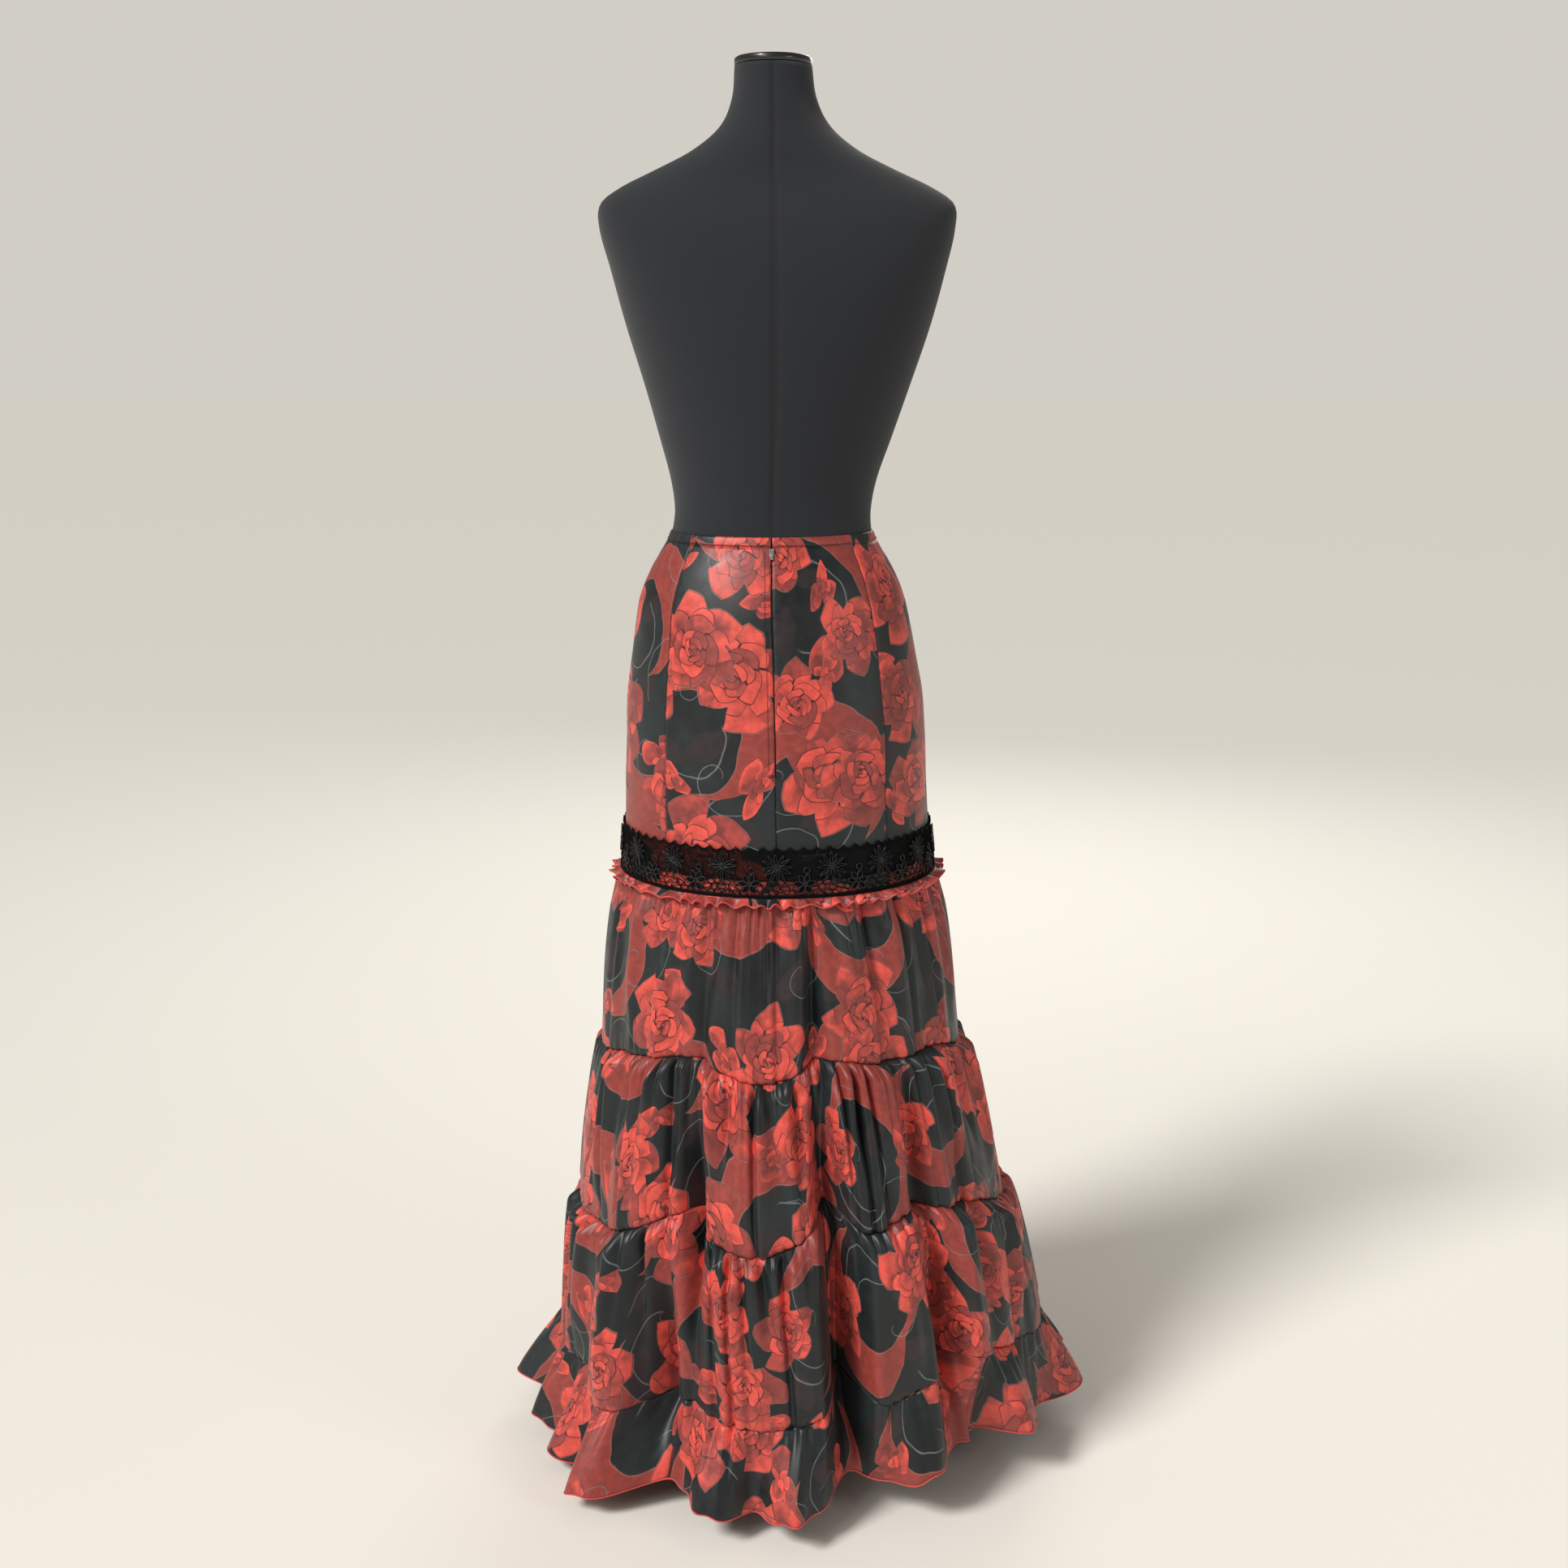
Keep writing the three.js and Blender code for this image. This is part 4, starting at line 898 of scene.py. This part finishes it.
lace_starts = np.arange(LACE_REPEATS) * LACE_PITCH
daisies = np.repeat(lace_starts, DAISY_PETALS)
petal_turn = np.tile(np.arange(DAISY_PETALS) * 360 / DAISY_PETALS + 4, LACE_REPEATS)
petal_turn = petal_turn + 3 * np.sin(np.arange(len(petal_turn)) * 2.4)
petal_reach = DAISY_REACH * (1 + 0.07 * np.sin(np.arange(len(petal_turn)) * 1.7))[:, None]
daisy_height = np.full(len(daisies), DAISY_HEIGHT)
outline = loops((daisies, daisy_height), petal_turn, petal_reach, 1.5, 2.6)
raised = 1.7 + 0.5 * np.sin(np.arange(LOOP_POINTS) / LOOP_POINTS * np.pi)
daisy_outlines = lace_cords(*outline, raised, 0.5, 0.6, closed=True)
spine = np.linspace(0, 1, 7)
a = np.radians(petal_turn)[:, None]
spine_length = 2 + (petal_reach - 2.6) * spine
fill = (daisies[:, None] + spine_length * np.cos(a), DAISY_HEIGHT + spine_length * np.sin(a))
fill_across = 0.2 + 1.2 * np.sin(np.pi * spine) ** 0.8
daisy_fills = lace_cords(*fill, 0.9, fill_across, 0.4)
eye = np.arange(12) * np.pi / 6
eyes = []
for radius, rise in ((2.7, 1.6), (1.2, 2.3)):
    eye_place = (lace_starts[:, None] + radius * np.cos(eye), DAISY_HEIGHT + radius * np.sin(eye))
    eyes.append(lace_cords(*eye_place, rise, 0.8, 0.8, closed=True))

FLOWER_TURNS = (12, 66, 122, 176, 232, 306)
between = np.repeat(lace_starts + LACE_PITCH / 2, len(FLOWER_TURNS))
flower_turn = np.tile(FLOWER_TURNS, LACE_REPEATS) + 5 * np.sin(np.arange(len(between)) * 1.9)
flower_height = np.full(len(between), FLOWER_HEIGHT)
flowers = loops((between, flower_height), flower_turn, FLOWER_REACH, 3.2, 1.8)
flower_loops = lace_cords(*flowers, 1.3, 0.7, 0.75, closed=True)
a = np.radians(flower_turn)[:, None]
flower_length = 2.5 + (FLOWER_REACH - 3.5) * spine
fill = (between[:, None] + flower_length * np.cos(a), FLOWER_HEIGHT + flower_length * np.sin(a))
flower_fills = lace_cords(*fill, 0.5, 0.4 + 2.4 * np.sin(np.pi * spine) ** 0.7, 0.4)
ring_middle = (lace_starts + LACE_PITCH / 2 + 2.5)[:, None]
ring_place = (ring_middle + 3.2 * np.cos(eye), FLOWER_HEIGHT + 15 + 3.2 * np.sin(eye))
flower_rings = lace_cords(*ring_place, 1.0, 0.7, 0.7, closed=True)

EYELET_ROWS = (
    # height, places from a daisy's middle
    (699.4, (-14.0, -4.6, 4.6, 14.0)),
    (693.4, (-18.4, -9.2, 0.0, 9.2, 18.4)),
    (687.4, (-22.6, -13.6, -4.6, 4.6, 13.6, 22.6)),
)
EYELET_WIDE, EYELET_HIGH = 4.2, 2.9
eyelets = []
for height, places in EYELET_ROWS:
    middle = (lace_starts[:, None] + np.array(places)[None, :]).reshape(-1, 1)
    count = np.arange(len(middle))[:, None]
    uneven = 1 + 0.18 * np.sin(count * 2.7)
    tipped = np.cos(eye + 0.2 * np.sin(count))
    ring_s = middle + 1.3 * np.sin(count * 1.9) + EYELET_WIDE * uneven * tipped
    ring_z = height + 0.7 * np.sin(count * 3.3) + EYELET_HIGH / uneven * np.sin(eye)
    eyelets.append(lace_cords(ring_s, ring_z, 0.2, 0.6, 0.7, closed=True))

NET_SPACING, NET_LEAN, NET_LOW, NET_HIGH = 2.1, 22, 702.0, 732.0
net = []
net_count = int(LACE_ROUND / NET_SPACING)
for lean in (-1, 1):
    first = np.arange(net_count)[:, None] * LACE_ROUND / net_count
    climb = np.linspace(0, 1, 9)[None, :]
    net_z = NET_LOW + climb * (NET_HIGH - NET_LOW)
    net.append(lace_cords(first + lean * climb * NET_LEAN, net_z, 0.1 * lean, 0.42, 0.3))
bars = np.arange(0, 1, 1 / (LACE_REPEATS * 32))[None, :] * LACE_ROUND
garland = 703.0 + 1.8 * np.cos(bars / LACE_PITCH * 4 * np.pi)
peak = np.abs(np.sin(bars / LACE_PITCH * 4 * np.pi))
edges = [
    lace_cords(bars, LACE_TOP - 4.4 * peak**0.8, 0.3, 0.8, 0.8, closed=True),
    lace_cords(bars, LACE_TOP - 2.4 - 3.6 * peak**0.8, 0.2, 0.9, 0.6, closed=True),
    lace_cords(bars, garland, 0.4, 0.8, 0.8, closed=True),
    lace_cords(bars, np.full_like(bars, LACE_BOTTOM + 2.6), 0.2, 1.2, 0.8, closed=True),
    lace_cords(bars, np.full_like(bars, LACE_BOTTOM + 0.7), 0.4, 1.0, 0.9, closed=True),
]

LACE_FINISHES = (
    # name, grey of the threads from and to, shine, roughness; the cords' greys are lighter than the net's,
    # though both are the same black thread: painted highlight on the raised cords
    ("guipure_net", 1, 7, 0.15, 0.7),
    ("guipure_cord", 8, 34, 0.5, 0.32),
)
for lace_name, dull, glint, shine, rough in LACE_FINISHES:
    _, tree, shader = new_material(lace_name, Specular_IOR_Level=shine)
    coords = node(tree, "TexCoord").outputs["Object"]
    wraps = noise(tree, coords, 1100.0, 2.0)
    wear = noise(tree, coords, 60.0, 2.0)
    # for guipure_cord the lighter greys are painted highlight on the raised cords
    tones = (srgb(dull, dull, dull + 1), srgb(glint, glint, glint + 2))
    connect(tree, mixed(tree, wraps, *tones), shader.inputs["Base Color"])
    connect(tree, ramp(tree, wear, 0.3, 0.7, rough, rough + 0.12), shader.inputs["Roughness"])
    bump(tree, shader, wraps, 0.0004, 0.8)
motif_mesh = joined_cords("lace_motifs", [daisy_outlines, *eyes, flower_loops, flower_rings])
add_piece("lace_motifs", motif_mesh, bpy.data.materials["guipure_cord"], "black_lace")
net_mesh = joined_cords("lace_ground", [*net, *eyelets, *edges, daisy_fills, flower_fills])
net_material = bpy.data.materials["guipure_net"]
ground = add_piece("lace_ground", net_mesh, net_material, "black_lace", "lace_back", "lace_front")

# ---------------------------------------------------------------------------------------------
# Frill: the gathered heading of the first tier. It stands out under the lace, its edge overlocked
# in red.

FRILL_TOP, FRILL_DROP, FRILL_START, FRILL_FLARE, FRILL_WAVE = 682.0, 6.0, 1.4, 7.6, 2.4
FRILL_WAVES, FRILL_SHORT_WAVES = 30, 53
FRILL_RIPPLE = 3.0  # half height of the short waves at the edge
FRILL_COLUMNS, FRILL_ROWS = 760, 7
EDGE_ROUND = 1.0  # radius of an overlocked edge
WIDTHS = {
    # piece: its nodes in turn, and the seams between them
    "frill": (("back", "front"), (-90, 90, 270)),
    "tier1": (("back", "front"), (-90, 90, 270)),
    "tier2": (("back", "front_right", "front_left"), (-105, 40, 137.5, 255)),
    "tier3": (("back_left", "back_right", "front_right", "front_left"), (-105, 10, 105, 180, 255)),
    "ruffle": (("back", "right", "front", "left"), (-35, 50, 142.5, 227.5, 325)),
}

TURN_IN, TURN_IN_DEGREES = 2.4, 0.45  # how far, and how near it, a seam draws the cloth in
CUT_FROM = {"frill": 330, "tier1": 0, "tier2": 60, "tier3": 30, "ruffle": 200}  # place on the bolt
NEXT_WIDTH = (211, 131)  # how far apart two widths lie on the bolt, across and down


def frill_surface(angle, v):
    """The frill: it leaves the yoke, flares with v and waves in and out, in long and short waves."""
    a = np.radians(angle)
    long_wave = np.cos(FRILL_WAVES * a + 1.1 * np.sin(4 * a) + 0.9 * np.sin(9 * a + 1))
    short_phase = FRILL_SHORT_WAVES * a + 1.7 * np.sin(5 * a + 2) + 1.6 * np.sin(11 * a)
    waves = FRILL_WAVE * long_wave + FRILL_RIPPLE * np.cos(short_phase)
    out = LACE_OUT + FRILL_START * v + FRILL_FLARE * v**1.3 + v * waves
    z = FRILL_TOP - FRILL_DROP * v + v * (FRILL_RIPPLE * np.sin(short_phase + 1) + 1.6 * long_wave)
    wide, deep, shift = yoke_size(np.maximum(FRILL_TOP - FRILL_DROP * v, YOKE_BOTTOM))
    return place(angle, oval(wide, deep, angle) + out, z, shift)


def edge_cord(name, line):
    """An overlocked edge along a closed line of points: a cord of thread wound round the cloth."""
    ring = line[None]
    outward = ring - np.mean(line, 0)
    outward = outward * np.array([1, 1, 0]) + np.array([0, 0, 1e-3])
    cord = cords(ring, outward, EDGE_ROUND, EDGE_ROUND, 6, True)
    return add_piece(name, joined_cords(name, [cord]), thread, "printed_satin")


def build_widths(piece, surface, columns, rows, crowd=0.0, **words):
    """One shell of cloth for each width in a round piece, from the same surface. Its rows stand
    closer at both ends, by crowd times a sine."""
    names, seams = WIDTHS[piece]
    v = np.linspace(0, 1, rows)[:, None]
    v = v - crowd * np.sin(2 * np.pi * v) / (2 * np.pi)
    for number, name in enumerate(names):
        span = seams[number + 1] - seams[number]
        angle = np.linspace(seams[number], seams[number + 1], int(columns * span / 360))[None, :]
        points = surface(angle, v)
        from_seam = np.minimum(angle - angle[0, 0], angle[0, -1] - angle)[..., None]
        inward = points * np.array([1, 1, 0])
        inward = inward / np.linalg.norm(inward, axis=-1, keepdims=True)
        points = points - TURN_IN * np.exp(-from_seam / TURN_IN_DEGREES) * inward
        across = NEXT_WIDTH[0] * number + 37 * len(piece) + CUT_FROM[piece]
        offset = (across, NEXT_WIDTH[1] * number + 59 * int(seams[0]))
        cloth_piece(f"{piece}_{name}_cloth", points, offset, f"{piece}_{name}", held="gathered", **words)


build_widths("frill", frill_surface, FRILL_COLUMNS, FRILL_ROWS, rests_on=["lace_ground"])
edge_angle = np.linspace(0, 360, 900, endpoint=False)
edge_cord("frill_edge", frill_surface(edge_angle, np.ones_like(edge_angle)))

# ---------------------------------------------------------------------------------------------
# Tiers: three gathered rounds of the satin, each fuller than the last. Deep folds run down
# through all of them, finer creases fall from the gathers and fade, and seams draw the cloth in.

TIERS = (
    # tier, place down it, half width, half depth, shift
    (1, 0, 174, 141, 6),
    (1, 0.08, 177, 145, 6),
    (1, 0.25, 187, 154, 7),
    (1, 0.55, 196, 166, 8),
    (1, 1, 203, 178, 10),
    (2, 0, 203, 178, 10),
    (2, 0.08, 212, 187, 11),
    (2, 0.4, 227, 202, 14),
    (2, 0.75, 239, 213, 17),
    (2, 1, 245, 219, 20),
    (3, 0, 245, 219, 20),
    (3, 0.1, 257, 230, 23),
    (3, 0.4, 269, 240, 27),
    (3, 0.75, 278, 248, 32),
    (3, 1, 283, 252, 35),
)
SEAMS = (
    # place round the body, height of the seam under tiers 1, 2 and 3
    (-122, 478, 290, 126),
    (-104, 486, 302, 140),
    (-84, 474, 284, 120),
    (-62, 490, 290, 108),
    (-46, 500, 314, 112),
    (-31, 507, 341, 138),
    (-20, 495, 317, 126),
    (-8, 487, 309, 123),
    (3, 493, 324, 132),
    (12, 508, 350, 152),
    (22, 509, 331, 142),
    (33, 501, 341, 158),
    (46, 499, 335, 166),
    (62, 500, 322, 150),
    (84, 478, 290, 130),
    (104, 488, 308, 146),
    (121, 478, 288, 126),
    (138, 490, 312, 150),
    (159, 482, 294, 128),
    (181, 496, 322, 152),
    (200, 482, 292, 126),
    (219, 490, 310, 148),
)
FOLDS = (
    # place, half width in degrees, how far it moves the foot of tiers 1, 2 and 3
    (-66, 12, -4, -8, -14),
    (-50, 14, 2, 8, 26),
    (-39, 9, -6, -14, -56),
    (-29, 7, -10, -40, -6),
    (-20, 6, -4, 0, 0),
    (-12, 17, 4, 10, 8),
    (-3, 5, -2, -2, 0),
    (12, 8, -18, -52, -90),
    (25, 10, 3, 6, -4),
    (41, 8, -8, -28, -62),
    (56, 8, -4, -10, -16),
    (68, 14, 0, 0, -16),
    (104, 10, -5, -16, -40),
    (122, 10, 0, 6, 12),
    (138, 9, -7, -24, -56),
    (160, 9, -3, -8, -20),
    (181, 10, -8, -32, -70),
    (203, 11, 2, 6, 10),
    (219, 9, -6, -20, -50),
    (240, 9, -3, -10, -22),
    (256, 9, -6, -12, -32),
)
GATHERS = {1: (24, 2.2), 2: (32, 3.0), 3: (36, 3.4)}  # how many round each tier, and half their depth
GATHER_FULL_AT, PLEAT_FULL_AT, PUCKER_FULL_AT = 0.08, 0.06, 0.03  # v where each is deepest
GATHER_FADE = 2.4
CREASES = (
    # tier, place, half width in degrees, depth, v where it starts and ends, degrees that it drifts
    (1, -72, 2.2, -3.5, 0.0, 0.75, 3),
    (1, -58, 3.0, 3.0, 0.05, 0.9, -2),
    (1, -46, 2.0, -4.0, 0.0, 0.6, 2),
    (1, -36, 2.6, 3.2, 0.0, 1.0, 4),
    (1, -24, 1.8, -3.6, 0.0, 0.8, -3),
    (1, -14, 2.6, 2.6, 0.1, 0.9, 1),
    (1, -5, 1.6, -4.2, 0.0, 0.7, 2),
    (1, 5, 2.8, 3.4, 0.0, 1.0, 3),
    (1, 14, 2.0, -4.6, 0.0, 1.0, -2),
    (1, 26, 2.4, 3.0, 0.0, 0.8, 2),
    (1, 35, 1.8, -4.0, 0.0, 0.65, 3),
    (1, 47, 2.8, 3.4, 0.1, 1.0, -3),
    (1, 60, 2.0, -3.8, 0.0, 0.8, 1),
    (1, 74, 2.8, 3.0, 0.0, 0.9, 3),
    (2, -78, 2.2, -5.0, 0.0, 0.8, 2),
    (2, -66, 2.8, 4.0, 0.0, 0.9, -3),
    (2, -56, 1.8, -5.6, 0.0, 0.55, 3),
    (2, -45, 2.4, 4.6, 0.0, 1.0, 2),
    (2, -35, 1.6, -5.4, 0.0, 0.9, -2),
    (2, -24, 2.2, 4.4, 0.0, 0.7, 3),
    (2, -17, 1.5, -5.0, 0.0, 0.6, -2),
    (2, -7, 2.2, 4.0, 0.0, 1.0, 2),
    (2, 3, 1.7, -5.4, 0.0, 0.8, 3),
    (2, 16, 2.2, 5.0, 0.1, 1.0, 1),
    (2, 24, 1.6, -5.0, 0.0, 0.7, -3),
    (2, 33, 2.2, 4.4, 0.0, 0.9, 2),
    (2, 44, 1.8, -5.6, 0.0, 1.0, -1),
    (2, 55, 2.4, 4.6, 0.0, 0.8, 3),
    (2, 66, 1.8, -5.0, 0.0, 0.7, 2),
    (2, 78, 2.6, 4.2, 0.0, 0.9, -2),
    (3, -80, 2.0, -6.0, 0.0, 0.8, 2),
    (3, -70, 2.6, 5.0, 0.0, 1.0, -2),
    (3, -60, 1.7, -6.4, 0.0, 0.6, 3),
    (3, -52, 2.0, 5.4, 0.0, 1.0, 2),
    (3, -44, 1.5, -5.6, 0.0, 0.8, -3),
    (3, -31, 1.8, 5.2, 0.0, 0.9, 1),
    (3, -24, 1.4, -5.6, 0.0, 0.5, 2),
    (3, -16, 2.0, 4.6, 0.1, 0.9, -2),
    (3, -8, 1.4, -5.8, 0.0, 0.6, 2),
    (3, 1, 2.0, 5.0, 0.0, 1.0, 3),
    (3, 19, 1.6, -6.0, 0.0, 0.9, -2),
    (3, 27, 1.8, 5.4, 0.0, 1.0, 2),
    (3, 35, 1.5, -5.6, 0.0, 0.7, 2),
    (3, 49, 2.0, 5.6, 0.0, 1.0, -3),
    (3, 57, 1.6, -6.0, 0.0, 0.8, 2),
    (3, 68, 2.2, 5.0, 0.0, 0.9, 3),
    (3, 79, 1.8, -5.6, 0.0, 0.7, -2),
)
PLEATS = {1: (35, 5.0), 2: (57, 6.6), 3: (64, 7.4)}  # the same of the narrow pleats
PUCKERS, PUCKER_DEEP = {1: 88, 2: 112, 3: 124}, 2.6  # short gathers at the seam round each tier
BACK_SHARE, FRONT_SHARE = 1.75, 1.5  # of the creases' depths
FRONT_MIDDLE, FRONT_CLOSER = 184, 0.97  # the front's creases: their middle, and share of the spacing
TIER_COLUMNS, TIER_GRID_ROWS = 900, 36


def ring_curve(xs, ys, angle):
    """A smooth curve round the body: through the points, set out three turns long so that it closes."""
    xs, ys = np.asarray(xs, float), np.asarray(ys, float)
    wide_xs = np.concatenate([xs - 360, xs, xs + 360])
    order = np.argsort(wide_xs)
    return smooth_curve(wide_xs[order], np.tile(ys, 3)[order], turned(angle))


def seam_height(tier, angle):
    """Height of the seam under a tier; number 0 is the yoke's seam."""
    table = np.array(SEAMS, float)
    if tier == 0:
        return np.full_like(angle, YOKE_BOTTOM)
    return ring_curve(table[:, 0], table[:, tier], angle)


def swell(distance, half):
    """A soft rise from 0 at both ends to 1 in the middle: a raised cosine to the power 1.2."""
    rise = 0.5 + 0.5 * np.cos(np.pi * np.clip(distance / half, -1, 1))
    return rise**1.2


def tier_size(tier, v):
    """Half width, half depth and shift of a tier at v: smooth curves through its rows of the table."""
    table = np.array([row[1:] for row in TIERS if row[0] == tier], float)
    return (smooth_curve(table[:, 0], table[:, k], v) for k in (1, 2, 3))


def fold_offset(tier, angle, v):
    """How far the deep folds move the cloth: from the tier above's value to this one's."""
    total = 0
    for at, half, *moves in FOLDS:
        above = 0 if tier == 1 else moves[tier - 2]
        here = above + (moves[tier - 1] - above) * v * v * (3 - 2 * v)
        total = total + here * swell(turned(angle - at), half)
    return total


def crease_offset(tier, angle, v):
    """The creases: a bell curve across each one's line, which drifts round with v and fades at both
    ends. The front has the back's the other way round, a little closer together and shallower."""
    total = 0
    for row_tier, at, half, deep, start, end, drift in CREASES:
        if row_tier != tier:
            continue
        window = np.clip((v - start) / 0.12, 0, 1) * np.clip((end - v) / 0.35, 0, 1)
        window = window * window * (3 - 2 * window)
        for middle, share in ((at, BACK_SHARE), (FRONT_MIDDLE - at * FRONT_CLOSER, FRONT_SHARE)):
            near = turned(angle - middle - drift * v) / (half * (1 + 0.5 * v))
            total = total + share * deep * window * np.exp(-(near**2))
    return total


def pleated(phase):
    """A wave with broad crests and narrow troughs: 1 less twice a power of its trough's share."""
    return 1 - 2 * (0.5 - 0.5 * np.cos(phase)) ** 2.6


def gather_offset(tier, angle, v):
    """Gathers: broad waves that are deepest a little below the seam, narrow pleats that run on down
    from it, each to its own length and depth, and fine puckers that fade within a few centimetres."""
    count, deep = GATHERS[tier]
    a = np.radians(angle)
    phase = count * a + 1.3 * np.sin(3 * a + tier) + 0.8 * np.sin(7 * a + 2 * tier)
    broad = deep * np.minimum(1, v / GATHER_FULL_AT) * np.exp(-GATHER_FADE * v) * np.cos(phase)
    pleat_phase = PLEATS[tier][0] * a + 2.4 * np.sin(4 * a + 2 * tier) + 1.7 * np.sin(11 * a + tier)
    share = 0.62 + 0.38 * np.sin(19 * a + 1.9 * np.sin(7 * a) + 3 * tier)
    pleat = PLEATS[tier][1] * share * np.minimum(1, v / PLEAT_FULL_AT)
    pleat = pleat * np.exp(-(4.0 - 3.4 * share) * v)
    fine_phase = PUCKERS[tier] * a + 2.1 * np.sin(5 * a + tier) + 1.4 * np.sin(13 * a + 3 * tier)
    fade = 10 + 5 * np.sin(17 * a + tier)
    fine = PUCKER_DEEP * np.minimum(1, v / PUCKER_FULL_AT) * np.exp(-fade * v) * pleated(fine_phase)
    return broad + pleat * pleated(pleat_phase) + fine


def seam_draw(tier, angle, v):
    """The seams draw the cloth in: a step in at the tier's top, and puckers and a turned-in edge at
    its foot."""
    a = np.radians(angle)
    step_in = -3.4 * np.exp(-v / 0.018)
    puckers = 0.9 * np.exp(-(1 - v) / 0.035) * np.cos((PUCKERS[tier] + 9) * a + 2 * np.sin(7 * a))
    swelling = 1.6 * np.exp(-(1 - v) / 0.09)
    turned_in = -3.0 * np.exp(-(1 - v) / 0.016)
    return step_in + puckers + swelling + turned_in


def tier_radius(tier, angle, v):
    """Distance of a tier's cloth from the body's axis: its oval at v, moved by the folds, gathers,
    creases and seams."""
    wide, deep, _ = tier_size(tier, v)
    moved = fold_offset(tier, angle, v) + gather_offset(tier, angle, v)
    return oval(wide, deep, angle) + moved + crease_offset(tier, angle, v) + seam_draw(tier, angle, v)


def tier_surface(tier, angle, v):
    """The cloth of a tier: its radius at v, at a height that falls evenly from seam to seam."""
    high, low = seam_height(tier - 1, angle) - SEAM / 2, seam_height(tier, angle) + SEAM / 2
    _, _, shift = tier_size(tier, v)
    return place(angle, tier_radius(tier, angle, v), high + (low - high) * v, shift)


for tier in (1, 2, 3):
    above = ["frill_back_cloth" if tier == 1 else f"tier{tier - 1}_back_cloth"]
    hang = {"crowd": 0.62, "full": 1.2, "rests_on": above}
    build_widths(f"tier{tier}", partial(tier_surface, tier), TIER_COLUMNS, TIER_GRID_ROWS, **hang)

# ---------------------------------------------------------------------------------------------
# Ruffle: the full flounce at the hem. It flares from the last tier's seam to deep waves, and its
# edge is overlocked in red.

RUFFLE_DROP, HEM_LIFT = 92.0, 0.15
RUFFLE_GATHERS, RUFFLE_GATHER_DEEP = 118, 3.0
FLUTTERS, FLUTTER_DEEP, FLUTTER_LIFT = 43, 3.2, 0.8  # small waves that grow towards the hem
RUFFLE_TUCK = 1.0  # how far the ruffle's top lies inside the tier's foot
HEM = (300, 270, 35)  # half width, half depth, shift
WAVES = (
    # crest, how far it stands out of the hem's oval, how far the dip after it stands in
    (-92, 42, 2),
    (-78, 26, 2),
    (-65, 30, 8),
    (-49, 58, 16),
    (-20, 32, 0),
    (-2, 32, 46),
    (30, 12, 20),
    (44, -24, 44),
    (58, 14, 20),
    (88, 34, 8),
    (100, 26, 18),
    (117, 22, 30),
    (134, 30, 24),
    (151, 18, 28),
    (168, 30, 38),
    (186, 16, 26),
    (203, 30, 18),
    (220, 24, 32),
    (237, 20, 20),
    (252, 30, 6),
)
RUFFLE_COLUMNS, RUFFLE_ROWS = 900, 24


def hem_wave(angle):
    """How far the hem stands out of its oval: a smooth curve through each crest and, halfway to the
    next, its dip."""
    crests = np.array(WAVES, float)
    following = np.append(crests[1:, 0], crests[0, 0] + 360)
    dips = (crests[:, 0] + following) / 2
    xs = np.stack([crests[:, 0], dips], 1).ravel()
    ys = np.stack([crests[:, 1], -crests[:, 2]], 1).ravel()
    return ring_curve(xs, ys, angle)


def ruffle_surface(angle, v):
    """The flounce: its radius runs from the last tier's foot to the waved hem, faster at the top."""
    a = np.radians(angle)
    spread = 0.35 * np.sin(v * np.pi / 2) + 0.65 * v
    top_radius = tier_radius(3, angle, np.ones_like(angle)) - RUFFLE_TUCK
    wave = hem_wave(angle)
    hem_radius = oval(HEM[0], HEM[1], angle) + wave
    radius = top_radius + (hem_radius - top_radius) * spread
    gather = np.cos(RUFFLE_GATHERS * a + 2.3 * np.sin(5 * a) + 1.5 * np.sin(11 * a + 2))
    fade = 5.5 + 2.5 * np.sin(13 * a + 1)
    gather = RUFFLE_GATHER_DEEP * np.minimum(1, v / PLEAT_FULL_AT) * np.exp(-fade * v) * gather
    flutter = np.cos(FLUTTERS * a + 1.8 * np.sin(6 * a + 1) + 1.1 * np.sin(15 * a))
    radius = radius + gather + FLUTTER_DEEP * v * flutter
    top = seam_height(3, angle) - SEAM / 2
    _, _, shift = tier_size(3, np.ones_like(angle))
    shift = shift + (HEM[2] - shift) * v
    drop = (RUFFLE_DROP - HEM_LIFT * wave + FLUTTER_LIFT * flutter * v) * v
    return place(angle, radius, top - drop, shift)


hang = {"full": 1.1, "rests_on": ["tier3_back_left_cloth"]}
build_widths("ruffle", ruffle_surface, RUFFLE_COLUMNS, RUFFLE_ROWS, **hang)
hem_angle = np.linspace(0, 360, 1200, endpoint=False)
edge_cord("hem_edge", ruffle_surface(hem_angle, np.ones_like(hem_angle)))
